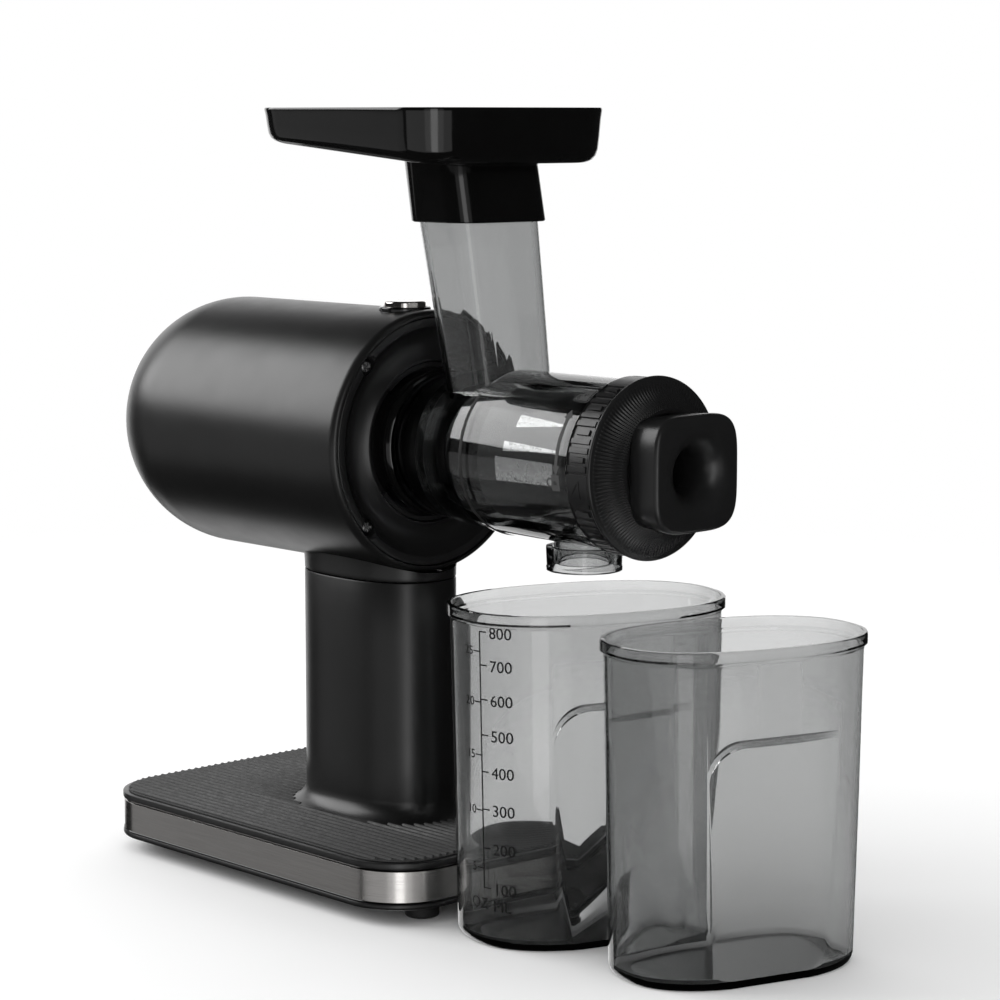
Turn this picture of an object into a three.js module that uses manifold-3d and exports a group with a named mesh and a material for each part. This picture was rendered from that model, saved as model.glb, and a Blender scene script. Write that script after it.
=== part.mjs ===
// Horizontal slow juicer with an auger, a feed tray and two cups.
// Millimetres, +Z up. The drum axis runs along +X, and the base stands on Z = 0.
import * as THREE from 'three';
import * as BufferGeometryUtils from 'three/addons/utils/BufferGeometryUtils.js';
import Module from 'manifold-3d';

const wasm = await Module();
wasm.setup();

// ---- Driving dimensions ----------------------------------------------------

const GAP = 0.3;                 // clearance between pieces that touch
const CENTRE_X = 15.15;          // middle of the whole set along the drum axis, from the front rim

const AXIS_Z = 184;              // height of the drum axis
const HOUSING_R = 54;            // motor housing
const DOME_START = -123;         // where the round rear end begins
const HOUSING_WALL = 2.5;
const RIM_R = 52.7;              // front rim of the housing
const PLATE_R = 51.2;            // front plate
const SOCKET_R = 33.2;           // recess in the front plate

const BASE_BACK = -145;
const BASE_FRONT = 52.3;
const BASE_HALF_WIDTH = 68.4;
const BASE_CORNER_R = 26.5;
const FOOT_HEIGHT = 6;
const LIP_TOP = 8.8;             // top of the lower lip of the base
const BAND_TOP = 22.3;           // top of the steel band
const DECK_TOP = 25.4;
const MAT_THICKNESS = 1.4;

const NECK_X = -35;              // middle of the neck
const NECK_HALF_LENGTH = 37.5;
const NECK_HALF_WIDTH = 23.5;
const NECK_TOP = 126.2;          // seam between the neck and its saddle
const FLARE = 9;                 // radius of the flare at the foot of the neck

const BUTTON_X = -18;
const BUTTON_R = 8.7;
const BUTTON_TOP = 241.2;
const BUTTON_TRAVEL = 2.2;

const DRUM_R = 33;
const DRUM_WALL = 3;
const DRUM_BACK = 26;
const DRUM_BACK_R = 29;
const DRUM_SHOULDER = 52;        // where the cone at the back of the drum reaches full size
const DRUM_FRONT = 122;
const SPOUT_X = 88;
const SPOUT_BOTTOM = 141;

const CHUTE_FOOT_X = 39.2;       // chute axis where it meets the drum
const CHUTE_FOOT_Z = 208;
const CHUTE_LEAN = 0.18;         // backward run for each unit of height
const CHUTE_TOP = 297;
const COLLAR_BOTTOM = 275;
const TRAY_TOP = 320;
const TRAY_X = -0.6;
const TRAY_HALF_LENGTH = 57.1;
const TRAY_HALF_WIDTH = 52;
const TRAY_CORNER_R = 20;

const SCREEN_BACK = 57;
const AUGER_R = 24.6;

const NUT_BACK = 112.4;
const NUT_R = 34.5;
const NOZZLE_BACK = 133.5;
const NOZZLE_FACE = 149;
const NOZZLE_HALF = 22.3;

const GEAR_MODULE = 1.1;
const SUN_TEETH = 12;
const PLANET_TEETH = 18;
const RING_TEETH = 48;
const GEAR_BACK = -34;
const GEAR_WIDTH = 10;
const PLANETS = 3;

const CUP_WALL = 2;
const JUICE_CUP = { x: 91.5, y: -2, halfX: 38, halfY: 56, height: 130.5, turn: -18 };
const PULP_CUP = { x: 167.8, y: 0, halfX: 34, halfY: 52.5, height: 126, turn: -16 };

const ROUND = 28;                // sides on a large round
const SMALL_ROUND = 12;          // sides on a small round

// ---- Finishes --------------------------------------------------------------

const FINISHES = {
  housing_black: { color: 0x1b1b1c, roughness: 0.45, metalness: 0 },
  gloss_black: { color: 0x0b0b0c, roughness: 0.12, metalness: 0 },
  dark_plastic: { color: 0x141415, roughness: 0.55, metalness: 0 },
  rubber: { color: 0x222223, roughness: 0.85, metalness: 0 },
  band_steel: { color: 0x565250, roughness: 0.3, metalness: 1 },
  chrome: { color: 0xd8d0cc, roughness: 0.12, metalness: 1 },
  steel: { color: 0xc9cac8, roughness: 0.28, metalness: 1 },
  smoked_clear: { color: 0x55585a, roughness: 0.06, metalness: 0 },
  clear: { color: 0xe4e8ea, roughness: 0.05, metalness: 0 },
  auger_plastic: { color: 0x1e1e20, roughness: 0.4, metalness: 0 },
  gear_plastic: { color: 0xd9d4c6, roughness: 0.5, metalness: 0 },
  copper: { color: 0xb06a3a, roughness: 0.4, metalness: 1 },
  board_green: { color: 0x1d5a38, roughness: 0.6, metalness: 0 },
};

const product = new THREE.Group();
product.position.set(-CENTRE_X, 0, 0);

function addPart(name, geometry, finish) {
  const mesh = new THREE.Mesh(geometry, new THREE.MeshStandardMaterial(FINISHES[finish]));
  mesh.name = name;
  product.add(mesh);
  return mesh;
}

// ---- Solids ----------------------------------------------------------------

// A closed body with shared vertices, no flat triangles and its faces pointing out.
function closedBody(geometry) {
  const bare = geometry.clone();
  bare.deleteAttribute('normal');
  bare.deleteAttribute('uv');
  const merged = BufferGeometryUtils.mergeVertices(bare, 1e-4);
  const position = merged.getAttribute('position');
  const corners = [new THREE.Vector3(), new THREE.Vector3(), new THREE.Vector3()];
  const kept = [];
  let volume = 0;
  for (let i = 0; i < merged.index.count; i += 3) {
    const triangle = [0, 1, 2].map((k) => merged.index.getX(i + k));
    if (new Set(triangle).size < 3) continue;
    triangle.forEach((vertex, k) => corners[k].fromBufferAttribute(position, vertex));
    volume += corners[0].dot(corners[1].clone().cross(corners[2]));
    kept.push(triangle);
  }
  const index = volume < 0 ? kept.map(([a, b, c]) => [a, c, b]) : kept;
  merged.setIndex(index.flat());
  return merged;
}

function toManifold(geometry) {
  const body = closedBody(geometry);
  return new wasm.Manifold(new wasm.Mesh({
    numProp: 3,
    vertProperties: Float32Array.from(body.getAttribute('position').array),
    triVerts: Uint32Array.from(body.index.array),
  }));
}

function toGeometry(manifold) {
  const mesh = manifold.getMesh();
  const geometry = new THREE.BufferGeometry();
  geometry.setAttribute('position', new THREE.BufferAttribute(mesh.vertProperties, 3));
  geometry.setIndex(new THREE.BufferAttribute(mesh.triVerts, 1));
  return geometry;
}

// The first body with the others added or cut away.
function join(first, ...others) {
  return toGeometry(others.reduce((sum, other) => sum.add(toManifold(other)), toManifold(first)));
}

function cut(first, ...others) {
  return toGeometry(others.reduce((rest, other) => rest.subtract(toManifold(other)), toManifold(first)));
}

// A round body on the drum axis, from points of [x, radius].
function turnedOnAxis(points, sides = ROUND) {
  const profile = points.map(([x, radius]) => new THREE.Vector2(radius, x));
  const geometry = closedBody(new THREE.LatheGeometry(profile, sides));
  return geometry.rotateZ(-Math.PI / 2).translate(0, 0, AXIS_Z);
}

// A round body on an upright axis, from points of [radius, z].
function turnedUpright(points, x, y, sides = SMALL_ROUND) {
  const profile = points.map(([radius, z]) => new THREE.Vector2(radius, z));
  const geometry = closedBody(new THREE.LatheGeometry(profile, sides));
  return geometry.rotateX(Math.PI / 2).translate(x, y, 0);
}

function closedLoop(points) {
  return [...points, points[0]];
}

// A plain disc or tube on the drum axis.
function discOnAxis(xLow, xHigh, radius, bore = 0, sides = ROUND) {
  return turnedOnAxis(closedLoop([[xLow, bore], [xLow, radius], [xHigh, radius], [xHigh, bore]]), sides);
}

function rodOnAxis(xLow, xHigh, radius, sides = SMALL_ROUND) {
  return turnedOnAxis([[xLow, 0], [xLow, radius], [xHigh, radius], [xHigh, 0]], sides);
}

function uprightRod(x, y, zLow, zHigh, radius, sides = SMALL_ROUND) {
  return turnedUpright([[0, zLow], [radius, zLow], [radius, zHigh], [0, zHigh]], x, y, sides);
}

function box(xLow, xHigh, yLow, yHigh, zLow, zHigh) {
  const geometry = new THREE.BoxGeometry(xHigh - xLow, yHigh - yLow, zHigh - zLow);
  return geometry.translate((xLow + xHigh) / 2, (yLow + yHigh) / 2, (zLow + zHigh) / 2);
}

// An oval ring of points; power 2 is an ellipse and a higher power is squarer.
function ovalRing(halfX, halfY, z, { x = 0, y = 0, power = 2, count = 32 } = {}) {
  const bend = (value) => Math.sign(value) * Math.abs(value) ** (2 / power);
  return Array.from({ length: count }, (_, i) => {
    const angle = (i / count) * 2 * Math.PI;
    return new THREE.Vector3(x + halfX * bend(Math.cos(angle)), y + halfY * bend(Math.sin(angle)), z);
  });
}

// A rectangle with round corners as a ring of points.
function roundedRing(halfX, halfY, radius, z, { x = 0, y = 0, perCorner = 5 } = {}) {
  const ring = [];
  for (let corner = 0; corner < 4; corner += 1) {
    const sideX = corner === 0 || corner === 3 ? 1 : -1;
    const sideY = corner < 2 ? 1 : -1;
    for (let i = 0; i < perCorner; i += 1) {
      const angle = (corner + i / (perCorner - 1)) * Math.PI / 2;
      const px = x + sideX * (halfX - radius) + radius * Math.cos(angle);
      const py = y + sideY * (halfY - radius) + radius * Math.sin(angle);
      ring.push(new THREE.Vector3(px, py, z));
    }
  }
  return ring;
}

// A closed body through rings of equal point counts, with flat ends.
function loft(rings) {
  const count = rings[0].length;
  const centre = (ring) => ring.reduce((sum, p) => sum.add(p), new THREE.Vector3()).divideScalar(count);
  const points = [...rings.flat(), centre(rings[0]), centre(rings[rings.length - 1])];
  const bottom = points.length - 2;
  const top = points.length - 1;
  const index = [];
  for (let i = 0; i < count; i += 1) {
    const next = (i + 1) % count;
    index.push(bottom, next, i);
    for (let level = 0; level < rings.length - 1; level += 1) {
      const a = level * count + i;
      const b = level * count + next;
      index.push(a, b, b + count, a, b + count, a + count);
    }
    const last = (rings.length - 1) * count;
    index.push(top, last + i, last + next);
  }
  const geometry = new THREE.BufferGeometry().setFromPoints(points);
  geometry.setIndex(index);
  return closedBody(geometry);
}

// The shape of a spur gear, or of the hole in a ring gear when the radii are passed that way.
function gearShape(teeth, root, tip, rootShare, tipShare) {
  const pitch = (2 * Math.PI) / teeth;
  const points = [];
  for (let i = 0; i < teeth; i += 1) {
    const steps = [[-rootShare, root], [-tipShare, tip], [tipShare, tip], [rootShare, root]];
    for (const [share, radius] of steps) {
      const angle = (i + share / 2) * pitch;
      points.push(new THREE.Vector2(radius * Math.cos(angle), radius * Math.sin(angle)));
    }
  }
  return new THREE.Shape(points);
}

// A shape drawn across the drum axis and extruded along it.
function extrudeOnAxis(shape, xLow, xHigh) {
  const geometry = new THREE.ExtrudeGeometry(shape, { depth: xHigh - xLow, bevelEnabled: false });
  return geometry.rotateY(Math.PI / 2).translate(xLow, 0, AXIS_Z);
}

// ---- Base ------------------------------------------------------------------

const BASE_X = (BASE_BACK + BASE_FRONT) / 2;
const BASE_HALF_LENGTH = (BASE_FRONT - BASE_BACK) / 2;

function baseSlab(inset, zLow, zHigh) {
  const ring = (z) => roundedRing(BASE_HALF_LENGTH - inset, BASE_HALF_WIDTH - inset,
    BASE_CORNER_R - inset, z, { x: BASE_X });
  return loft([ring(zLow), ring(zHigh)]);
}

function baseTray() {
  const floorTop = FOOT_HEIGHT + GAP + 2.6;
  const lip = baseSlab(0, FOOT_HEIGHT + GAP, LIP_TOP);
  const wall = baseSlab(2.4, FOOT_HEIGHT + 1, BAND_TOP);
  const hollow = baseSlab(5, floorTop, BAND_TOP + 1);
  return cut(join(lip, wall), hollow);
}

function baseBand() {
  const margin = 0.5;
  const low = LIP_TOP + GAP;
  const high = BAND_TOP - GAP / 2;
  return cut(baseSlab(margin, low, high), baseSlab(2.4 - GAP, low - 1, high + 1));
}

function baseDeck() {
  const cableHole = uprightRod(NECK_X, 0, BAND_TOP - 1, DECK_TOP + 1, 12);
  return cut(baseSlab(0, BAND_TOP + GAP, DECK_TOP), cableHole);
}

function ribbedMat() {
  const inset = 2.4;
  const low = DECK_TOP + GAP / 2;
  const top = low + MAT_THICKNESS;
  const hole = loft([neckRing(FLARE + 0.6, low - 1), neckRing(FLARE + 0.6, top + 1)]);
  return cut(baseSlab(inset, low, top), hole);
}

addPart('base_tray', baseTray(), 'dark_plastic');
addPart('base_band', baseBand(), 'band_steel');
addPart('base_deck', baseDeck(), 'housing_black');
addPart('ribbed_mat', ribbedMat(), 'rubber');

const FOOT_INSET = 14;
for (const [end, footX] of [['rear', BASE_BACK + FOOT_INSET], ['front', BASE_FRONT - FOOT_INSET]]) {
  for (const [side, way] of [['left', 1], ['right', -1]]) {
    const profile = [[0, 0], [6.4, 0], [7, 0.8], [7, FOOT_HEIGHT], [0, FOOT_HEIGHT]];
    const footY = way * (BASE_HALF_WIDTH - 27);
    addPart(`foot_${end}_${side}`, turnedUpright(profile, footX, footY), 'rubber');
  }
}

function cordGland() {
  const bore = 3.6;
  const profile = [[0, bore], [0, 7], [2, 7], [2, 5.4], [9, 4.8], [9, bore]];
  const points = closedLoop(profile).map(([x, radius]) => [BASE_BACK - GAP - x, radius]);
  return turnedOnAxis(points, SMALL_ROUND).translate(0, 0, (LIP_TOP + BAND_TOP) / 2 - AXIS_Z);
}
addPart('cord_gland', cordGland(), 'rubber');

// ---- Neck ------------------------------------------------------------------

function neckRing(grow, z) {
  return ovalRing(NECK_HALF_LENGTH + grow, NECK_HALF_WIDTH + grow, z, { x: NECK_X, power: 2.4 });
}

function neckColumn() {
  const foot = DECK_TOP + GAP;
  const rings = [];
  const steps = 5;
  for (let i = 0; i <= steps; i += 1) {
    const angle = (i / steps) * Math.PI / 2;
    rings.push(neckRing(FLARE * (1 - Math.sin(angle)), foot + FLARE * (1 - Math.cos(angle))));
  }
  rings.push(neckRing(0, NECK_TOP));
  const hollow = loft([neckRing(-HOUSING_WALL, foot - 1), neckRing(-HOUSING_WALL, NECK_TOP + 1)]);
  return cut(loft(rings), hollow);
}

function neckSaddle() {
  const block = loft([neckRing(0, NECK_TOP + GAP), neckRing(2.5, AXIS_Z - 42)]);
  const hollow = loft([neckRing(-HOUSING_WALL, NECK_TOP - 1), neckRing(-HOUSING_WALL, AXIS_Z)]);
  const housing = rodOnAxis(-180, 60, HOUSING_R + GAP, ROUND);
  return cut(block, hollow, housing);
}

addPart('neck_column', neckColumn(), 'housing_black');
addPart('neck_saddle', neckSaddle(), 'housing_black');

// ---- Motor housing ---------------------------------------------------------

function motorHousing() {
  const arc = (radius, steps) => Array.from({ length: steps + 1 }, (_, i) => {
    const angle = (i / steps) * Math.PI / 2;
    const r = i === steps ? 0 : radius * Math.cos(angle);
    return [DOME_START - radius * Math.sin(angle), r];
  });
  const inner = HOUSING_R - HOUSING_WALL;
  const outside = [[0, RIM_R], [-1.2, HOUSING_R - 0.5], [-4, HOUSING_R], ...arc(HOUSING_R, 7)];
  const inside = [...arc(inner, 5).reverse(), [0, inner]];
  const shell = turnedOnAxis(closedLoop([...outside, ...inside]));
  return cut(shell, uprightRod(BUTTON_X, 0, AXIS_Z + 40, AXIS_Z + 60, BUTTON_R + 2.4, 24));
}

const PLATE_SCREW_Y = 34;
const PLATE_SCREW_Z = 32.6;
const SCREW_BORE_R = 3.4;

function axialHole(y, z, xLow, xHigh, radius) {
  return rodOnAxis(xLow, xHigh, radius, 12).translate(0, y, z);
}

function fourCorners(reachY, reachZ) {
  return [[-reachY, reachZ], [-reachY, -reachZ], [reachY, reachZ], [reachY, -reachZ]];
}

function frontPlate() {
  const dishDepth = 4.2;
  const dishOuter = 46;
  const dishInner = SOCKET_R + 0.8;
  const dish = Array.from({ length: 5 }, (_, i) => {
    const t = i / 4;
    const x = -1 - dishDepth * 0.6 * Math.sin(t * Math.PI) - t * 0.8;
    return [x, dishOuter + (dishInner - dishOuter) * t];
  });
  const profile = [
    [-8.6, PLATE_R], [-0.6, PLATE_R], [-0.2, PLATE_R - 0.6], [-0.4, dishOuter + 2], ...dish,
    [-1.9, SOCKET_R], [-6, SOCKET_R - 0.3], [-6, 20], [-8.6, 20],
  ];
  const plate = turnedOnAxis(closedLoop(profile));
  const holes = fourCorners(PLATE_SCREW_Y, PLATE_SCREW_Z).map(([y, z]) => (
    axialHole(y, z, -5, 3, SCREW_BORE_R)
  ));
  return cut(plate, ...holes);
}

// The head of a screw, with a plain socket in its face.
function screw(y, z, xBack, headR, headHeight) {
  const face = xBack + headHeight;
  const profile = [
    [xBack, 0], [xBack, headR], [face, headR], [face, headR / 2], [face - 0.8, headR / 2],
    [face - 0.8, 0],
  ];
  return turnedOnAxis(profile, 10).translate(0, y, z);
}

addPart('motor_housing', motorHousing(), 'housing_black');
addPart('front_plate', frontPlate(), 'dark_plastic');
fourCorners(PLATE_SCREW_Y, PLATE_SCREW_Z).forEach(([y, z], i) => {
  addPart(`plate_screw_${i + 1}`, screw(y, z, -5 + GAP, SCREW_BORE_R - GAP, 2.4), 'steel');
});

// ---- Start button ----------------------------------------------------------

const BUTTON_SEAT = AXIS_Z + 45;   // top of the switch below the button

function startButton() {
  const capLow = BUTTON_TOP - 5;
  const profile = [
    [0, BUTTON_SEAT + BUTTON_TRAVEL + 0.4], [2.4, BUTTON_SEAT + BUTTON_TRAVEL + 0.4], [2.4, capLow],
    [BUTTON_R, capLow], [BUTTON_R, BUTTON_TOP - 0.6], [BUTTON_R - 0.6, BUTTON_TOP], [0, BUTTON_TOP],
  ];
  return turnedUpright(profile, BUTTON_X, 0, 24);
}

function buttonBezel() {
  const inner = BUTTON_R + GAP;
  const outer = BUTTON_R + 2;
  const low = AXIS_Z + 51.8;
  const high = AXIS_Z + HOUSING_R + 0.8;
  const profile = [[inner, low], [outer, low], [outer, high], [inner, high]];
  return turnedUpright(closedLoop(profile), BUTTON_X, 0, 24);
}

function buttonSpring() {
  const turns = 4;
  const points = Array.from({ length: turns * 8 + 1 }, (_, i) => {
    const angle = (i / 8) * 2 * Math.PI;
    const z = BUTTON_SEAT + 0.8 + (i / (turns * 8)) * 5.2;
    return new THREE.Vector3(BUTTON_X + 3.8 * Math.cos(angle), 3.8 * Math.sin(angle), z);
  });
  const wire = new THREE.Shape(new THREE.EllipseCurve(0, 0, 0.4, 0.4).getPoints(5).slice(0, -1));
  const path = new THREE.CatmullRomCurve3(points);
  const settings = { steps: turns * 8, extrudePath: path, bevelEnabled: false };
  return closedBody(new THREE.ExtrudeGeometry(wire, settings));
}

addPart('start_button', startButton(), 'chrome');
addPart('button_bezel', buttonBezel(), 'gloss_black');
addPart('button_spring', buttonSpring(), 'steel');
addPart('start_switch', box(BUTTON_X - 6, BUTTON_X + 6, -4, 4, AXIS_Z + 38.6, BUTTON_SEAT), 'dark_plastic');
addPart('control_board', box(-72, BUTTON_X + 9, -16, 16, AXIS_Z + 36.6, AXIS_Z + 38.3), 'board_green');

// ---- Motor and gears -------------------------------------------------------

const SUN_R = GEAR_MODULE * SUN_TEETH / 2;
const PLANET_R = GEAR_MODULE * PLANET_TEETH / 2;
const RING_R = GEAR_MODULE * RING_TEETH / 2;
const PLANET_ORBIT = SUN_R + PLANET_R;
const TOOTH_RISE = 0.8;
const TOOTH_DROP = 1.15;
const RING_OUTER_R = 31;
const MOTOR_SHAFT_R = 2.5;
const PIN_R = 2.4;

function spurGear(teeth, radius, bore, turn) {
  const shape = gearShape(teeth, radius - TOOTH_DROP, radius + TOOTH_RISE, 0.62, 0.22);
  shape.holes.push(new THREE.Path(new THREE.EllipseCurve(0, 0, bore, bore).getPoints(14).slice(0, -1)));
  const geometry = extrudeOnAxis(shape, GEAR_BACK, GEAR_BACK + GEAR_WIDTH);
  return geometry.translate(0, 0, -AXIS_Z).rotateX(turn).translate(0, 0, AXIS_Z);
}

function ringGear() {
  const rim = new THREE.EllipseCurve(0, 0, RING_OUTER_R, RING_OUTER_R);
  const shape = new THREE.Shape(rim.getPoints(ROUND).slice(0, -1));
  const hole = gearShape(RING_TEETH, RING_R + TOOTH_DROP, RING_R - TOOTH_RISE, 0.62, 0.22);
  shape.holes.push(new THREE.Path(hole.getPoints()));
  return extrudeOnAxis(shape, GEAR_BACK, GEAR_BACK + GEAR_WIDTH);
}

function gearboxCase() {
  const outer = RING_OUTER_R + 3;
  const inner = RING_OUTER_R + GAP;
  const profile = [
    [-48, inner], [-48, outer], [-9, outer], [-9, 14.6], [-16, 14.6], [-16, 17.5], [-12, 17.5],
    [-12, inner],
  ];
  return turnedOnAxis(closedLoop(profile));
}

function planetCarrier() {
  const hub = turnedOnAxis([[-21.5, 0], [-21.5, 22], [-17, 22], [-17, 7.5], [6, 7.5], [6, 0]]);
  const hex = rodOnAxis(5, 24, 6.2, 6);
  const pins = planetCentres().map(([y, z]) => axialHole(y, z, GEAR_BACK - 2, -20, PIN_R));
  return join(hub, hex, ...pins);
}

function planetCentres() {
  return Array.from({ length: PLANETS }, (_, i) => {
    const angle = Math.PI / 2 + (i / PLANETS) * 2 * Math.PI;
    return [PLANET_ORBIT * Math.cos(angle), PLANET_ORBIT * Math.sin(angle)];
  });
}

addPart('gearbox_case', gearboxCase(), 'steel');
addPart('ring_gear', ringGear(), 'gear_plastic');
addPart('planet_carrier', planetCarrier(), 'steel');
addPart('output_bearing', discOnAxis(-15.6, -9.4, 14.3, 7.8), 'steel');

// A planet has a gap where the sun gear's tooth points, half a tooth away from its own.
const PLANET_PHASE = Math.PI / PLANET_TEETH;
addPart('sun_gear', spurGear(SUN_TEETH, SUN_R, MOTOR_SHAFT_R + GAP, 0), 'steel');
planetCentres().forEach(([y, z], i) => {
  const gear = spurGear(PLANET_TEETH, PLANET_R, PIN_R + GAP, PLANET_PHASE);
  addPart(`planet_gear_${i + 1}`, gear.translate(0, y, z), 'gear_plastic');
});

const MOTOR_FRONT = -49;
const MOTOR_BACK = -112;
const MOTOR_R = 27;

function motorCan() {
  const wall = 1.8;
  const inner = MOTOR_R - wall;
  const profile = [
    [MOTOR_BACK, inner], [MOTOR_BACK, MOTOR_R], [MOTOR_FRONT, MOTOR_R], [MOTOR_FRONT, 5],
    [MOTOR_FRONT - wall, 5], [MOTOR_FRONT - wall, inner],
  ];
  return turnedOnAxis(closedLoop(profile), 24);
}

function motorRotor() {
  const shaft = rodOnAxis(-130, GEAR_BACK + GEAR_WIDTH + 0.5, MOTOR_SHAFT_R);
  const core = discOnAxis(MOTOR_BACK + 12, MOTOR_FRONT - 10, 21, 0.5, SMALL_ROUND);
  const commutator = rodOnAxis(MOTOR_BACK + 3, MOTOR_BACK + 13, 9);
  return join(shaft, core, commutator);
}

function coolingFan() {
  const hub = discOnAxis(-127, -118, 7, MOTOR_SHAFT_R + GAP, SMALL_ROUND);
  const disc = discOnAxis(-118.8, -117, 24, 5, SMALL_ROUND);
  const blade = (i) => {
    const plate = box(-126, -118, -0.9, 0.9, 5, 23).rotateX(i * Math.PI / 3);
    return plate.translate(0, 0, AXIS_Z);
  };
  return join(hub, disc, ...Array.from({ length: 6 }, (_, i) => blade(i)));
}

addPart('motor_can', motorCan(), 'steel');
addPart('motor_end_cap', discOnAxis(MOTOR_BACK - 3, MOTOR_BACK - GAP, MOTOR_R, 3.2, 24), 'dark_plastic');
addPart('motor_rotor', motorRotor(), 'copper');
addPart('cooling_fan', coolingFan(), 'dark_plastic');

// ---- Socket at the front of the housing ------------------------------------

const SEAT_R = 22.2;             // plate in the middle of the socket
const SEAT_FACE = 8;
const SEAT_DISC_R = 25;          // disc that carries the back of the drum
const AUGER_NECK_R = 11;
const SEAT_SCREW_Y = 10;
const SEAT_SCREW_Z = 13;

function drumSeat() {
  const bore = AUGER_NECK_R + 0.6;
  const profile = [
    [-5.7, 8], [-5.7, SEAT_R], [SEAT_FACE - 0.8, SEAT_R], [SEAT_FACE, SEAT_R - 0.8],
    [SEAT_FACE, 14.6], [23, 14.6], [25, SEAT_DISC_R], [33, SEAT_DISC_R], [33, bore], [1, bore], [1, 8],
  ];
  const holes = fourCorners(SEAT_SCREW_Y, SEAT_SCREW_Z).map(([y, z]) => (
    axialHole(y, z, SEAT_FACE - 1.5, SEAT_FACE + 1, 1.9)
  ));
  return cut(turnedOnAxis(closedLoop(profile)), ...holes);
}

function bayonetRing() {
  const middle = 26.4;
  const minor = 3.6;
  const crown = Array.from({ length: 8 }, (_, i) => {
    const angle = (i / 7) * Math.PI;
    return [2.4 + minor * Math.sin(angle), middle + minor * Math.cos(angle)];
  });
  return turnedOnAxis(closedLoop([[-5.7, 24], [-5.7, 29.5], ...crown]));
}

addPart('drum_seat', drumSeat(), 'dark_plastic');
fourCorners(SEAT_SCREW_Y, SEAT_SCREW_Z).forEach(([y, z], i) => {
  addPart(`seat_screw_${i + 1}`, screw(y, z, SEAT_FACE - 1.5 + GAP, 1.6, 1.6), 'steel');
});
addPart('shaft_seal', discOnAxis(1.3, 5.5, AUGER_NECK_R + GAP, 7.8, SMALL_ROUND), 'rubber');
addPart('bayonet_ring', bayonetRing(), 'gloss_black');

// ---- Drum with its chute ---------------------------------------------------

const chuteX = (z) => CHUTE_FOOT_X - CHUTE_LEAN * (z - CHUTE_FOOT_Z);

// The chute widens upward. The ring is level and grows by the given amount on each side.
function chuteRing(z, grow, sizeAt = z) {
  const rise = (sizeAt - CHUTE_FOOT_Z) / (COLLAR_BOTTOM - CHUTE_FOOT_Z);
  const halfX = 14.4 + 2.3 * rise + grow;
  const halfY = 20.2 + 2.2 * rise + grow;
  return roundedRing(halfX, halfY, 9 + rise + grow, z, { x: chuteX(z) });
}

function drumBody() {
  const outside = turnedOnAxis([
    [DRUM_BACK, 0], [DRUM_BACK, DRUM_BACK_R], [DRUM_SHOULDER, DRUM_R], [DRUM_FRONT - 10.5, DRUM_R],
    [DRUM_FRONT - 10, DRUM_R - 1.5], [DRUM_FRONT, DRUM_R - 1.5], [DRUM_FRONT, 0],
  ]);
  const bore = DRUM_R - DRUM_WALL;
  const inside = turnedOnAxis([
    [30, 0], [30, 25.4], [35, 26.2], [DRUM_SHOULDER + 2, bore], [DRUM_FRONT + 3, bore],
    [DRUM_FRONT + 3, 0],
  ]);
  const back = rodOnAxis(10, 31, SEAT_DISC_R + 0.4, ROUND);
  const chute = loft([chuteRing(AXIS_Z + 16, 0), chuteRing(CHUTE_TOP, 0)]);
  const chuteHole = loft([chuteRing(AXIS_Z + 5, -2.4), chuteRing(CHUTE_TOP + 1, -2.4)]);
  const spout = uprightRod(SPOUT_X, 0, SPOUT_BOTTOM + 2.5, AXIS_Z - 31, 12, 24);
  const spoutHole = uprightRod(SPOUT_X, 0, SPOUT_BOTTOM, AXIS_Z - 20, 9.8, 24);
  return cut(join(outside, chute, spout), inside, back, chuteHole, spoutHole);
}

function filterScreen() {
  const inner = AUGER_R + 0.6;
  const front = 111;
  const profile = [
    [SCREEN_BACK, inner], [SCREEN_BACK, 28.2], [front - 4, 28.2], [front - 4, 29.5],
    [front, 29.5], [front, inner],
  ];
  const tube = turnedOnAxis(closedLoop(profile));
  const slots = Array.from({ length: 6 }, (_, i) => {
    const slot = box(SCREEN_BACK + 8, front - 12, -2, 2, inner - 3, 32);
    return slot.rotateX((i + 0.5) * Math.PI / 3).translate(0, 0, AXIS_Z);
  });
  return cut(tube, ...slots);
}

function spoutRing() {
  const top = AXIS_Z - DRUM_R - 0.6;
  const profile = [[12.4, SPOUT_BOTTOM], [15, SPOUT_BOTTOM], [15.2, top], [12.4, top]];
  return turnedUpright(closedLoop(profile), SPOUT_X, 0, 24);
}

addPart('drum', drumBody(), 'smoked_clear');
addPart('spout_ring', spoutRing(), 'clear');
addPart('filter_screen', filterScreen(), 'steel');

// ---- Auger -----------------------------------------------------------------

const FLIGHT_BACK = 36.5;
const FLIGHT_FRONT = 110;
const FLIGHT_TURNS = 3;

// The flight stands on a core that thickens towards the front, where the pulp is pressed.
function augerScrew() {
  const steps = 27;
  const around = 13;
  const rings = [];
  for (let i = 0; i <= steps; i += 1) {
    const t = i / steps;
    const core = 10.5 + 9.5 * t;
    const ring = [];
    for (let k = 0; k < around; k += 1) {
      const angle = (k / around) * 2 * Math.PI;
      const fromCrest = Math.abs(angle - Math.PI) / Math.PI;
      const lift = THREE.MathUtils.clamp((0.26 - fromCrest) / 0.16, 0, 1);
      const radius = core + (AUGER_R - core) * lift;
      const turned = angle - t * FLIGHT_TURNS * 2 * Math.PI;
      const x = FLIGHT_BACK + t * (FLIGHT_FRONT - FLIGHT_BACK);
      ring.push(new THREE.Vector3(x, radius * Math.cos(turned), AXIS_Z + radius * Math.sin(turned)));
    }
    rings.push(ring);
  }
  return loft(rings);
}

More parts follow.
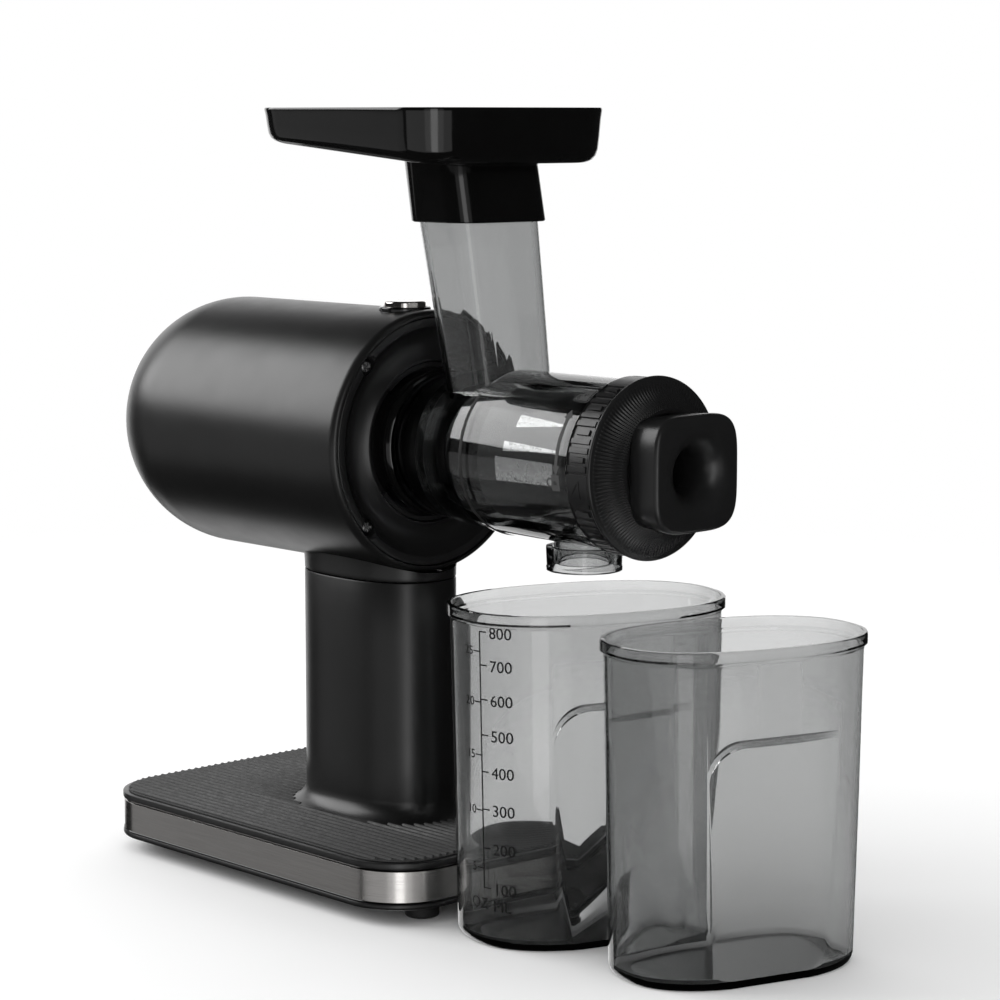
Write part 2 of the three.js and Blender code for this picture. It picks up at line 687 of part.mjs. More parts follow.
function auger() {
  const core = turnedOnAxis([
    [10, 0], [10, AUGER_NECK_R], [36, AUGER_NECK_R], [40, 10], [105, 12], [FLIGHT_FRONT - 0.5, 19.5],
    [117, 7.5], [118, 6], [124, 6], [125, 5], [125, 0],
  ], 20);
  return cut(join(augerScrew(), core), rodOnAxis(9, 27, 6.9));
}

addPart('auger', auger(), 'auger_plastic');
addPart('auger_seal', discOnAxis(33.5, 36, 19, AUGER_NECK_R + GAP, 24), 'rubber');

// ---- Lock nut, end plate and nozzle ----------------------------------------

const NUT_BORE = 21.3;

function lockNut() {
  const cone = Array.from({ length: 6 }, (_, i) => {
    const t = i / 5;
    return [126.4 + 6.6 * t ** 1.8, 33.2 - (33.2 - NUT_BORE - 1.2) * t];
  });
  const band = [
    [NUT_BACK, 31.9], [NUT_BACK, NUT_R - 0.4], [NUT_BACK + 0.5, NUT_R], [124.2, NUT_R],
    [124.7, 35.3],
  ];
  const inside = [[133, NUT_BORE], [128.4, NUT_BORE], [126, 27], [124.3, 31.9]];
  return turnedOnAxis(closedLoop([...band, [126.2, 35.1], ...cone, ...inside]));
}

function endPlate() {
  const profile = [
    [118, 10.5], [118, 29.6], [DRUM_FRONT + GAP, 29.6], [DRUM_FRONT + GAP, 31.3], [123.9, 31.3],
    [124, 20.9], [133, 20.9], [133, 10.5],
  ];
  return turnedOnAxis(closedLoop(profile));
}

function nozzleRing(x, half) {
  return ovalRing(half, half, x, { power: 4.2 }).map((p) => new THREE.Vector3(x, p.x, AXIS_Z + p.y));
}

function pulpNozzle() {
  const block = loft([
    nozzleRing(NOZZLE_BACK, NOZZLE_HALF - 1), nozzleRing(NOZZLE_FACE - 2, NOZZLE_HALF),
    nozzleRing(NOZZLE_FACE, NOZZLE_HALF - 2),
  ]);
  const mouth = turnedOnAxis([
    [NOZZLE_BACK - 1, 0], [NOZZLE_BACK - 1, 8.5], [NOZZLE_FACE - 10, 8.5], [NOZZLE_FACE - 6, 10.5],
    [NOZZLE_FACE - 2, 15], [NOZZLE_FACE + 0.5, 18], [NOZZLE_FACE + 0.5, 0],
  ]);
  return cut(block, mouth);
}

addPart('lock_nut', lockNut(), 'dark_plastic');
addPart('end_plate', endPlate(), 'dark_plastic');
addPart('pulp_nozzle', pulpNozzle(), 'dark_plastic');

// ---- Feed tray -------------------------------------------------------------

// The floor falls towards the front, so the tray is deeper there.
function trayRing(inset, share, thickness) {
  const ring = roundedRing(TRAY_HALF_LENGTH - inset, TRAY_HALF_WIDTH - inset,
    TRAY_CORNER_R - inset * 0.6, 0, { x: TRAY_X });
  for (const p of ring) {
    const depth = 21 - 0.085 * (37 - p.x) - thickness;
    p.z = TRAY_TOP - share * depth;
  }
  return ring;
}

function feedTray() {
  const outside = loft([
    trayRing(7, 1, 0), trayRing(2.8, 0.88, 0), trayRing(0.7, 0.3, 0), trayRing(0, 0, 0),
  ]);
  const wall = 2.2;
  const hollow = loft([
    trayRing(7 + wall, 1, wall), trayRing(3.2 + wall, 0.84, wall), trayRing(wall, -0.05, wall),
  ]);
  const grip = 2.2;
  const collar = loft([
    chuteRing(COLLAR_BOTTOM, grip, CHUTE_TOP), chuteRing(TRAY_TOP - 16, grip, CHUTE_TOP),
  ]);
  const collarHole = loft([
    chuteRing(COLLAR_BOTTOM - 1, 0.4, CHUTE_TOP), chuteRing(TRAY_TOP + 1, 0.4, CHUTE_TOP),
  ]);
  return cut(join(outside, collar), hollow, collarHole);
}

addPart('feed_tray', feedTray(), 'gloss_black');

// ---- Cups ------------------------------------------------------------------

// An oval cup with a flat pressed into the lower part of one long side.
function cup({ x, y, halfX, halfY, height, turn }) {
  const ring = (z, scale, inset) => (
    ovalRing(halfX * scale - inset, halfY * scale - inset, z, { power: 2.4 })
  );
  const flatX = halfX * 0.85;
  const flatTop = height * 0.715;
  const flat = (inset, low) => box(flatX - inset, halfX + 5, -halfY, halfY, low, flatTop + inset);
  const outside = loft([
    ring(0, 0.89, 0), ring(2.5, 0.92, 0), ring(height - 5, 0.975, 0), ring(height - 4.6, 1, 0),
    ring(height, 1, 0),
  ]);
  const inside = loft([ring(2.5, 0.9, CUP_WALL), ring(height + 1, 0.98, CUP_WALL)]);
  const body = cut(cut(outside, flat(0, -1)), cut(inside, flat(CUP_WALL, -1)));
  return body.rotateZ(THREE.MathUtils.degToRad(turn)).translate(x, y, 0);
}

addPart('juice_cup', cup(JUICE_CUP), 'smoked_clear');
addPart('pulp_cup', cup(PULP_CUP), 'smoked_clear');

export default product;
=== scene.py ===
"""Looks of a horizontal slow juicer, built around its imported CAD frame.

Blender works in metres. The shapes below are worked out in millimetres, with x = 0 at the front
rim of the motor housing and z = 0 on the counter, and world() places them in the frame.
"""
from math import copysign, cos, degrees, dist, pi, radians, sin, sqrt

import bmesh
import bpy
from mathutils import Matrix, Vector

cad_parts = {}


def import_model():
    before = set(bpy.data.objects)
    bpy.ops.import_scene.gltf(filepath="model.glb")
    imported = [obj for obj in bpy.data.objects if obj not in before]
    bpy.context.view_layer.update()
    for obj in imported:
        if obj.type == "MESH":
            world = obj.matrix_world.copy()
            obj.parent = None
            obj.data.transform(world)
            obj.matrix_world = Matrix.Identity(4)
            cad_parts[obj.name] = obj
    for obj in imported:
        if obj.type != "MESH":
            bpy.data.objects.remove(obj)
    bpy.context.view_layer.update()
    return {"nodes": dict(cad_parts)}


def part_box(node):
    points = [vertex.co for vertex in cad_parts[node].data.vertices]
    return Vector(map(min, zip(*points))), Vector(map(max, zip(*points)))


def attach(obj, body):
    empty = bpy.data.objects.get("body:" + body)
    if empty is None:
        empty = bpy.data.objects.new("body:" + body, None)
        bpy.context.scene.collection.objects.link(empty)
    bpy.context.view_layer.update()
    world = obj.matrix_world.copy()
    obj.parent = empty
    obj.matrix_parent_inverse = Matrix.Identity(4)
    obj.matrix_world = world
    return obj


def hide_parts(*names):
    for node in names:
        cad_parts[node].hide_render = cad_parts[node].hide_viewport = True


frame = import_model()

# ---- Driving dimensions, in millimetres ----

MM = 0.001
TURN = 2 * pi
RIM_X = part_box("motor_housing")[1].x / MM
AXIS_Z = (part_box("lock_nut")[0].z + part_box("lock_nut")[1].z) / 2 / MM


def low(node):
    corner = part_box(node)[0] / MM
    return corner - Vector((RIM_X, 0, 0))


def high(node):
    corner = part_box(node)[1] / MM
    return corner - Vector((RIM_X, 0, 0))


def centre(node):
    return [(a + b) / 2 for a, b in zip(low(node), high(node))]


HOUSING_R = high("motor_housing").y
HOUSING_WALL = 2.5
DOME_START = low("motor_housing").x + HOUSING_R
PLATE_R = high("front_plate").y
SOCKET_R = 33.2

BASE_BACK = low("base_deck").x
BASE_FRONT = high("base_deck").x
BASE_X = (BASE_BACK + BASE_FRONT) / 2
BASE_HALF_LENGTH = (BASE_FRONT - BASE_BACK) / 2
BASE_HALF_WIDTH = high("base_deck").y
BASE_CORNER_R = 26.5
TRAY_LOW = low("base_tray").z
LIP_TOP = 8.8
BAND_TOP = high("base_tray").z
DECK_TOP = high("base_deck").z
MAT_LOW = low("ribbed_mat").z
MAT_TOP = high("ribbed_mat").z

NECK_X = centre("neck_saddle")[0]
NECK_HALF = (37.5, 23.5)
NECK_POWER = 2.4
NECK_FOOT = low("neck_column").z
NECK_TOP = high("neck_column").z
FLARE = 9

BUTTON_X = centre("start_button")[0]
BUTTON_R = high("start_button").y
BUTTON_TOP = high("start_button").z

DRUM_BACK = low("drum").x
DRUM_R = 33
DRUM_SHOULDER = 52
DRUM_FRONT = high("drum").x
DRUM_STEP = DRUM_FRONT - 10
SPOUT_X = centre("spout_ring")[0]
SPOUT_TOP = high("spout_ring").z
SPOUT_BOTTOM = low("spout_ring").z

CHUTE_FOOT = (39.2, 208)
CHUTE_LEAN = 0.18
CHUTE_TOP = high("drum").z
COLLAR_BOTTOM = low("feed_tray").z
TRAY_TOP = high("feed_tray").z
TRAY_X = centre("feed_tray")[0]
TRAY_HALF = (high("feed_tray").x - TRAY_X, high("feed_tray").y)
TRAY_CORNER_R = 20

SCREEN_BACK = low("filter_screen").x
SCREEN_FRONT = high("filter_screen").x
AUGER_R = 24.6
AUGER_FRONT = high("auger").x

NUT_BACK = low("lock_nut").x
NUT_FRONT = high("lock_nut").x
NUT_R = 34.5
NOZZLE_BACK = low("pulp_nozzle").x
NOZZLE_FACE = high("pulp_nozzle").x
NOZZLE_HALF = high("pulp_nozzle").y

JUICE_CUP = {"x": 91.5, "y": -2, "half": (38, 56), "height": high("juice_cup").z, "turn": -18}
PULP_CUP = {"x": 167.8, "y": 0, "half": (33.9, 52.4), "height": high("pulp_cup").z, "turn": -16}
CUP_WALL = 2
CUP_POWER = 2.4

# ---- Objects ----


def add_object(name, data):
    made = bpy.data.objects.new(name, data)
    bpy.context.collection.objects.link(made)
    return made


def solved_mesh(source):
    """The mesh of an object once its modifiers have acted."""
    graph = bpy.context.evaluated_depsgraph_get()
    return bpy.data.meshes.new_from_object(source.evaluated_get(graph))


# ---- Camera ----

CAMERA_AZIMUTH = radians(47.16)
CAMERA_ELEVATION = radians(7.49)
CAMERA_DISTANCE = 1.1739
CAMERA_TARGET = Vector((0.0244, 0, 0.1637))


def toward(azimuth, elevation):
    """A unit vector from the object to somebody who looks at it from there."""
    flat = cos(elevation)
    return Vector((sin(azimuth) * flat, -cos(azimuth) * flat, sin(elevation)))


def make_camera():
    data = bpy.data.cameras.new("camera")
    data.lens = 105.2
    data.sensor_width = 36
    data.clip_end = 50
    camera = add_object("camera", data)
    back = toward(CAMERA_AZIMUTH, CAMERA_ELEVATION)
    camera.location = CAMERA_TARGET + back * CAMERA_DISTANCE
    camera.rotation_euler = (-back).to_track_quat("-Z", "Y").to_euler()
    bpy.context.scene.camera = camera


make_camera()
bpy.context.scene.view_settings.view_transform = "Standard"

# ---- Node helpers ----


def set_inputs(node, values):
    """Sets uniform values by input name; an underscore stands for a space."""
    for socket, value in values.items():
        node.inputs[socket.replace("_", " ")].default_value = value


def add_node(tree, kind, **values):
    made = tree.nodes.new(kind)
    set_inputs(made, values)
    return made


def link(output, place):
    output.id_data.links.new(output, place)


def new_material(name, color, roughness, metallic=0.0, **values):
    """A material with a Principled shader whose uniform values are on its own sockets."""
    material = bpy.data.materials.new(name)
    material.use_nodes = True
    shader = shader_of(material)
    shader.inputs["Base Color"].default_value = (*color, 1)
    shader.inputs["Roughness"].default_value = roughness
    shader.inputs["Metallic"].default_value = metallic
    set_inputs(shader, values)
    return material


def shader_of(material):
    return material.node_tree.nodes["Principled BSDF"]


def noise(material, scale, detail=2.0, stretch=(1, 1, 1)):
    """Noise in object space; scale is in cells per metre along an axis that isn't stretched."""
    tree = material.node_tree
    place = add_node(tree, "ShaderNodeTexCoord")
    mapping = add_node(tree, "ShaderNodeMapping", Scale=stretch)
    texture = add_node(tree, "ShaderNodeTexNoise", Scale=scale, Detail=detail)
    link(place.outputs["Object"], mapping.inputs["Vector"])
    link(mapping.outputs["Vector"], texture.inputs["Vector"])
    return texture.outputs["Fac"]


def bump(material, height, distance):
    tree = material.node_tree
    made = add_node(tree, "ShaderNodeBump", Strength=1.0, Distance=distance)
    link(height, made.inputs["Height"])
    link(made.outputs["Normal"], shader_of(material).inputs["Normal"])


def roughen(material, value, least, most):
    """Varies the roughness between two limits."""
    tree = material.node_tree
    made = add_node(tree, "ShaderNodeMapRange", From_Min=0.3, From_Max=0.7, To_Min=least, To_Max=most)
    link(value, made.inputs["Value"])
    link(made.outputs["Result"], shader_of(material).inputs["Roughness"])


def shade(material, value, dark, light):
    """Varies the base colour between two colours."""
    tree = material.node_tree
    made = tree.nodes.new("ShaderNodeMix")
    made.data_type = "RGBA"
    made.inputs[6].default_value = (*dark, 1)
    made.inputs[7].default_value = (*light, 1)
    link(value, made.inputs[0])
    link(made.outputs[2], shader_of(material).inputs["Base Color"])


def grey(level):
    return (level, level, level)


def mottled(name, tone, rough, grain, metallic=0.0):
    """A finish that varies a little: tone is noise, dark and light; rough is noise, least and most;
    grain is noise and height. Each noise is the arguments of noise() after the material."""
    tone_noise, dark, light = tone
    rough_noise, least, most = rough
    grain_noise, height = grain
    middle = [(a + b) / 2 for a, b in zip(dark, light)]
    made = new_material(name, middle, (least + most) / 2, metallic)
    shade(made, noise(made, *tone_noise), dark, light)
    roughen(made, noise(made, *rough_noise), least, most)
    bump(made, noise(made, *grain_noise), height)
    return made


# ---- Materials ----


def satin_black():
    """Painted housing: a fine orange peel under a satin lacquer."""
    tone = ((40,), (0.0045, 0.0045, 0.0046), grey(0.0075))
    return mottled("satin_black", tone, ((90, 4), 0.31, 0.35), ((2600, 3), 0.000006))


def matte_black():
    """Moulded plastic with a fine spark-eroded grain."""
    tone = ((60,), grey(0.006), (0.010, 0.010, 0.0105))
    return mottled("matte_black", tone, ((300, 3), 0.29, 0.36), ((3200, 4), 0.000014))


def gloss_black():
    """Polished plastic, with the faint waviness of a moulded face."""
    tone = ((50,), grey(0.0015), grey(0.0026))
    return mottled("gloss_black", tone, ((120, 4), 0.08, 0.13), ((70, 1), 0.00004))


def mat_rubber():
    tone = ((140, 3), grey(0.028), grey(0.044))
    return mottled("mat_rubber", tone, ((500, 3), 0.52, 0.68), ((2400, 4), 0.00003))


def foot_rubber():
    tone = ((200, 3), grey(0.009), grey(0.016))
    return mottled("foot_rubber", tone, ((700, 3), 0.62, 0.78), ((2600, 3), 0.00004))


def band_steel():
    """Dark stainless strip, brushed along its length."""
    tone = ((60, 4, (1, 1, 60)), (0.40, 0.388, 0.378), (0.49, 0.476, 0.464))
    rough = ((50, 5, (1, 1, 80)), 0.16, 0.26)
    return mottled("band_steel", tone, rough, ((40, 3, (1, 1, 90)), 0.000008), metallic=1.0)


def chrome():
    tone = ((300, 2), (0.66, 0.63, 0.61), (0.76, 0.73, 0.71))
    return mottled("chrome", tone, ((500, 4), 0.05, 0.12), ((900, 2), 0.000003), metallic=1.0)


def screw_steel():
    tone = ((900, 3), grey(0.16), grey(0.33))
    return mottled("screw_steel", tone, ((1200, 3), 0.22, 0.42), ((2500, 3), 0.00001), metallic=1.0)


def machined_steel():
    """Turned inner parts, with fine rings left by the tool."""
    tone = ((200, 3), (0.45, 0.45, 0.44), (0.6, 0.6, 0.59))
    rough = ((60, 4, (30, 1, 1)), 0.22, 0.4)
    return mottled("machined_steel", tone, rough, ((40, 3, (50, 1, 1)), 0.00001), metallic=1.0)


def dotted_steel():
    """Sheet steel with rows of fine strainer holes, painted on as dark dots: painted shade of the open
    holes.
    """
    made = new_material("dotted_steel", grey(0.7), 0.22, metallic=1.0)
    tree = made.node_tree
    place = add_node(tree, "ShaderNodeTexCoord")
    cells = add_node(tree, "ShaderNodeTexVoronoi", Scale=620, Randomness=0.55)
    hole = add_node(tree, "ShaderNodeMapRange", From_Min=0.16, From_Max=0.24)
    link(place.outputs["Object"], cells.inputs["Vector"])
    link(cells.outputs["Distance"], hole.inputs["Value"])
    # Painted shade: the holes are darkened in the base colour instead of being cut through.
    shade(made, hole.outputs["Result"], grey(0.02), grey(0.72))
    roughen(made, noise(made, 400, 3), 0.16, 0.3)
    bump(made, hole.outputs["Result"], 0.00008)
    return made


def smoked_clear():
    """Transparent copolyester: near-clear faces, and a grey that deepens with thickness."""
    made = new_material("smoked_clear", grey(0.97), 0.03, IOR=1.47, Transmission_Weight=1.0)
    roughen(made, noise(made, 60, 3), 0.015, 0.04)
    bump(made, noise(made, 45, 1), 0.00002)
    tree = made.node_tree
    volume = add_node(tree, "ShaderNodeVolumeAbsorption", Color=(0.30, 0.31, 0.31, 1), Density=290)
    link(volume.outputs["Volume"], tree.nodes["Material Output"].inputs["Volume"])
    return made


def auger_plastic():
    tone = ((80, 3), (0.009, 0.009, 0.010), (0.016, 0.016, 0.017))
    return mottled("auger_plastic", tone, ((300, 3), 0.27, 0.4), ((1600, 3), 0.00002))


def gear_plastic():
    tone = ((200, 3), (0.55, 0.52, 0.43), (0.66, 0.63, 0.54))
    return mottled("gear_plastic", tone, ((500, 3), 0.42, 0.56), ((2200, 3), 0.00002))


def copper():
    tone = ((90, 4, (1, 12, 12)), (0.4, 0.18, 0.09), (0.7, 0.36, 0.2))
    grain = ((60, 2, (1, 20, 20)), 0.00006)
    return mottled("copper", tone, ((600, 3), 0.28, 0.46), grain, metallic=1.0)


def board_green():
    tone = ((500, 1), (0.012, 0.09, 0.035), (0.03, 0.16, 0.07))
    return mottled("board_green", tone, ((900, 2), 0.3, 0.5), ((700, 1), 0.00003))


def printed_ink(name, level):
    """Pad-printed ink, a little uneven."""
    made = new_material(name, grey(level), 0.65, Specular_IOR_Level=0.2)
    shade(made, noise(made, 1200, 3), grey(level), grey(level * 1.5))
    roughen(made, noise(made, 1500, 2), 0.58, 0.74)
    return made


HOUSING = satin_black()
MATTE = matte_black()
GLOSS = gloss_black()
MAT = mat_rubber()
FOOT = foot_rubber()
BAND = band_steel()
CHROME = chrome()
SCREW = screw_steel()
MACHINED = machined_steel()
SIEVE = dotted_steel()
SMOKED = smoked_clear()
AUGER = auger_plastic()
GEAR = gear_plastic()
COPPER = copper()
BOARD = board_green()
INK = printed_ink("graduation_ink", 0.006)
ICON = printed_ink("icon_ink", 0.04)

# ---- Mesh helpers ----


def world(x, y, z):
    return ((RIM_X + x) * MM, y * MM, z * MM)


def spaced(start, end, steps):
    """Evenly spaced numbers with both ends."""
    return [start + (end - start) * k / steps for k in range(steps + 1)]


def skin(rings, closed=False, capped=True):
    """Quads between rings of equal length. A closed skin joins its last ring to its first."""
    count = len(rings[0])
    points = [point for ring in rings for point in ring]
    faces = []
    for a in range(len(rings) if closed else len(rings) - 1):
        b = (a + 1) % len(rings)
        for k in range(count):
            n = (k + 1) % count
            faces.append((a * count + k, a * count + n, b * count + n, b * count + k))
    if capped and not closed:
        last = (len(rings) - 1) * count
        faces.append(tuple(range(count)))
        faces.append(tuple(range(last, last + count)))
    return points, faces


def joined(*solids):
    points, faces = [], []
    for some_points, some_faces in solids:
        start = len(points)
        points.extend(some_points)
        faces.extend(tuple(start + index for index in face) for face in some_faces)
    return points, faces


def body_of(name, solid):
    """A Blender object from points in millimetres, with its faces pointing out."""
    points, faces = solid
    shape = bmesh.new()
    vertices = [shape.verts.new(world(*point)) for point in points]
    for face in faces:
        corners = [vertices[index] for index in face]
        if len(set(corners)) > 2:
            shape.faces.new(corners)
    bmesh.ops.remove_doubles(shape, verts=shape.verts, dist=1e-6)
    bmesh.ops.dissolve_degenerate(shape, edges=shape.edges, dist=1e-7)
    bmesh.ops.recalc_face_normals(shape, faces=shape.faces)
    mesh = bpy.data.meshes.new(name)
    shape.to_mesh(mesh)
    shape.free()
    return add_object(name, mesh)


def combine_with(target, tool, operation="DIFFERENCE"):
    """Cuts the tool, another object, out of the target, or adds it."""
    modifier = target.modifiers.new("combine", "BOOLEAN")
    modifier.object = tool
    modifier.operation = operation
    modifier.solver = "EXACT"
    mesh = solved_mesh(target)
    target.modifiers.clear()
    target.data = mesh
    bpy.data.objects.remove(tool)


def combine(target, solid, operation="DIFFERENCE"):
    combine_with(target, body_of("tool", solid), operation)


def piece(made, material, body, *nodes, sharp=32):
    """Gives an object its shading, finish and body, and hides the CAD nodes that it stands for."""
    mesh = made.data
    mesh.materials.clear()
    mesh.materials.append(material)
    mesh.shade_smooth()
    mesh.set_sharp_from_angle(angle=radians(sharp))
    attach(made, body)
    if nodes:
        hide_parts(*nodes)


# A profile around the drum axis is a list of (x, radius), and around an upright axis (radius, z).
# Angles around the drum axis start at the top and turn towards -Y.


def on_axis(x, radius, angle):
    return (x, -radius * sin(angle), AXIS_Z + radius * cos(angle))


def turned(profile, sides=96, ripple=None):
    """A body turned on the drum axis. ripple(x, radius, angle) changes the radius."""
    rings = []
    angles = [k / sides * TURN for k in range(sides)]
    for x, radius in profile:
        extra = [ripple(x, radius, a) if ripple else 0 for a in angles]
        rings.append([on_axis(x, radius + more, a) for more, a in zip(extra, angles)])
    return skin(rings, closed=profile[0][1] > 0, capped=False)


def sweep(section, start, end, steps):
    """A section swept round the drum axis, between two angles in degrees."""
    angles = [radians(degree) for degree in spaced(start, end, steps)]
    return skin([[on_axis(x, radius, a) for x, radius in section] for a in angles])


def turned_upright(profile, x, y, sides=64):
    angles = [k / sides * TURN for k in range(sides)]
    rings = [[(x + radius * cos(a), y + radius * sin(a), z) for a in angles] for radius, z in profile]
    return skin(rings, closed=profile[0][0] > 0, capped=False)


def arc(middle, radius, start, end, steps):
    """Points of an arc in a profile, in degrees from the first coordinate to the second."""
    angles = [radians(degree) for degree in spaced(start, end, steps)]
    return [(middle[0] + radius * cos(a), middle[1] + radius * sin(a)) for a in angles]


def oval(half, z, power=2.0, x=0.0, y=0.0, count=96):
    """A level oval ring; power 2 is an ellipse, and a higher power is squarer."""
    def bent(value):
        return copysign(abs(value) ** (2 / power), value)
    angles = [k / count * TURN for k in range(count)]
    return [(x + half[0] * bent(cos(a)), y + half[1] * bent(sin(a)), z) for a in angles]


def rounded(half, radius, z, x=0.0, y=0.0, per_corner=10):
    """A level rectangle with round corners."""
    ring = []
    for corner in range(4):
        side_x = 1 if corner in (0, 3) else -1
        side_y = 1 if corner < 2 else -1
        for k in range(per_corner):
            angle = (corner + k / (per_corner - 1)) * TURN / 4
            px = x + side_x * (half[0] - radius) + radius * cos(angle)
            py = y + side_y * (half[1] - radius) + radius * sin(angle)
            ring.append((px, py, z))
    return ring


def slab(xs, ys, zs):
    """A block between two values of each coordinate."""
    corners = [(x, y) for x, y in ((xs[0], ys[0]), (xs[1], ys[0]), (xs[1], ys[1]), (xs[0], ys[1]))]
    return skin([[(x, y, z) for x, y in corners] for z in zs])


# ---- Motor housing and front plate ----


def motor_housing():
    shoulder = [(3.4 * cos(t) - 3.4, HOUSING_R - 2.2 + 2.2 * sin(t)) for t in spaced(0, TURN / 4, 7)]
    dome = arc((DOME_START, 0), HOUSING_R, 90, 180, 30)
    inner_r = HOUSING_R - HOUSING_WALL
    inner_dome = arc((DOME_START, 0), inner_r, 180, 90, 14)
    outside = [*shoulder, (-40, HOUSING_R), (-80, HOUSING_R), *dome[:-1], (dome[-1][0], 0)]
    inside = [(inner_dome[0][0], 0), *inner_dome[1:], (-60, inner_r), (0, inner_r)]
    profile = [(x, max(radius, 1e-4)) for x, radius in [*outside, *inside]]
    made = body_of("housing_shell", turned(profile, 128))
    hole_z = AXIS_Z + HOUSING_R
    hole_r = BUTTON_R + 2.2
    hole = [(0, hole_z - 12), (hole_r, hole_z - 12), (hole_r, hole_z + 6), (0, hole_z + 6)]
    combine(made, turned_upright(hole, BUTTON_X, 0, 64))
    piece(made, HOUSING, "base", "motor_housing", sharp=40)


PLATE_SCREWS = [(-34, 32.6), (-34, -32.6), (34, 32.6), (34, -32.6)]
SEAT_SCREWS = [(-10, 13), (-10, -13), (10, 13), (10, -13)]


def across(solid, y, z):
    """The solid moved off the drum axis."""
    points, faces = solid
    return [(px, py + y, pz + z) for px, py, pz in points], faces


def front_plate():
    dish_outer = 47.5
    dish_inner = SOCKET_R + 0.8
    dish = []
    for t in spaced(0, 1, 18):
        depth = 3.6 * sin(t * pi) ** 0.9 + 1.2 * t
        dish.append((-0.5 - depth, dish_outer + (dish_inner - dish_outer) * t))
    profile = [
        (-8.6, PLATE_R), (-1.2, PLATE_R), *arc((-1.1, PLATE_R - 0.8), 0.8, 90, 10, 5),
        (-0.3, dish_outer + 1.2), *dish, (-1.6, SOCKET_R + 0.25), (-2.0, SOCKET_R),
        (-6, SOCKET_R - 0.2), (-6, 20), (-8.6, 20),
    ]
    made = body_of("front_plate_dished", turned(profile, 128))
    bore = [(-5.2, 0), (-5.2, 3.5), (-1.4, 3.7), (-0.9, 4.5), (4, 4.9), (4, 0)]
    for y, z in PLATE_SCREWS:
        combine(made, across(turned(bore, 40), y, z))
    piece(made, MATTE, "base", "front_plate", sharp=30)


def socket_ledge(name, start, end):
    """One raised step of the bayonet inside the socket."""
    section = [(-5.9, SOCKET_R - 0.3), (-2.6, SOCKET_R - 0.3), (-2.2, SOCKET_R - 0.7),
               (-2.2, SOCKET_R - 2.2), (-2.5, SOCKET_R - 2.5), (-5.9, SOCKET_R - 2.5)]
    piece(body_of(name, sweep(section, start, end, 40)), MATTE, "base")


def screw_head(name, y, z, back, radius, height, node):
    """A pan head with a cross recess."""
    dome = [(back + height * (0.62 + 0.38 * cos(t)), radius * sin(t) * 0.86) for t in spaced(0, TURN / 4, 6)]
    profile = [*dome, (back + height * 0.5, radius * 0.97), (back + height * 0.35, radius),
               (back, radius), (back, 0)]
    made = body_of(name, across(turned(profile, 36), y, z))
    long, wide, face = radius * 0.62, radius * 0.17, back + height
    for reach in ((long, wide), (wide, long)):
        cross = slab((face - height * 0.45, face + 1), (y - reach[0], y + reach[0]),
                     (AXIS_Z + z - reach[1], AXIS_Z + z + reach[1]))
        combine(made, cross)
    piece(made, SCREW, "base", node, sharp=35)


def bayonet_ring():
    """A thick polished ring with a bead, that turns with the drum."""
    crown = [(2.4 + 3.9 * sin(t), 26.4 + 3.4 * cos(t)) for t in spaced(0, pi, 18)]
    profile = [(-5.4, 24), (-5.4, 29.2), (0.6, 29.6), *crown, (0.6, 23.4)]
    made = body_of("bayonet_ring_polished", turned(profile, 128))
    piece(made, GLOSS, "bayonet_ring", "bayonet_ring", sharp=50)


def drum_seat():
    """The spool in the middle of the socket, which carries the drum."""
    bore = 11.6
    profile = [
        (-5.5, 8), (-5.5, 22), (6.6, 22), *arc((7.2, 21.4), 0.6, 90, 0, 4), (7.8, 19.2), (7.3, 18.7),
        (7.3, 15.2), (7.8, 14.8), (8.6, 14.5), (22.6, 14.5), (24.6, 24.6), (25.2, 25), (32.4, 25),
        (33, 24.4), (33, bore), (1, bore), (1, 8),
    ]
    piece(body_of("drum_seat_spool", turned(profile, 96)), MATTE, "base", "drum_seat", sharp=30)


# ---- Start button ----


def start_button():
    """Chrome cap with a dished top, a pocket for its spring, and its stem."""
    cap = BUTTON_TOP - 5
    stem_low = low("start_button").z
    top = [(BUTTON_R * t * 0.86, BUTTON_TOP - 0.25 + 0.2 * t ** 2) for t in spaced(0, 1, 8)]
    edge = arc((BUTTON_R - 1.0, BUTTON_TOP - 1.0), 1.0, 80, 0, 6)
    pocket = high("button_spring").y + 0.4
    skirt = [(BUTTON_R, cap + 0.3), (BUTTON_R - 0.3, cap), (pocket, cap), (pocket, cap + 2.5)]
    profile = [*top, *edge, *skirt, (2.4, cap + 2.5), (2.4, stem_low), (0, stem_low)]
    made = body_of("start_button_cap", turned_upright(profile, BUTTON_X, 0, 72))
    piece(made, CHROME, "start_button", "start_button", sharp=35)


def button_bezel():
    inner, outer = BUTTON_R + 0.3, BUTTON_R + 2
    bottom, top = low("button_bezel").z, high("button_bezel").z
    profile = [(inner, bottom), (outer, bottom), (outer, top - 0.8),
               *arc((outer - 0.7, top - 0.7), 0.7, 0, 90, 5), (inner + 0.3, top), (inner, top - 0.3)]
    made = body_of("button_bezel_lip", turned_upright(profile, BUTTON_X, 0, 72))
    piece(made, GLOSS, "base", "button_bezel")


# ---- Neck ----


def neck_ring(grow, z, count=112):
    half = (NECK_HALF[0] + grow, NECK_HALF[1] + grow)
    return oval(half, z, NECK_POWER, NECK_X, 0, count)


def neck_column():
    quarter = spaced(0, TURN / 4, 12)
    steps = [(FLARE * (1 - sin(a)), NECK_FOOT + FLARE * (1 - cos(a))) for a in quarter]
    steps += [(0, NECK_FOOT + 40), (0, NECK_TOP - 30), (0, NECK_TOP - 0.6), (-0.18, NECK_TOP - 0.18),
              (-0.6, NECK_TOP), (-HOUSING_WALL, NECK_TOP), (-HOUSING_WALL, NECK_FOOT)]
    rings = [neck_ring(grow, z) for grow, z in steps]
    made = body_of("neck_column_flared", skin(rings, closed=True))
    piece(made, HOUSING, "base", "neck_column", sharp=40)


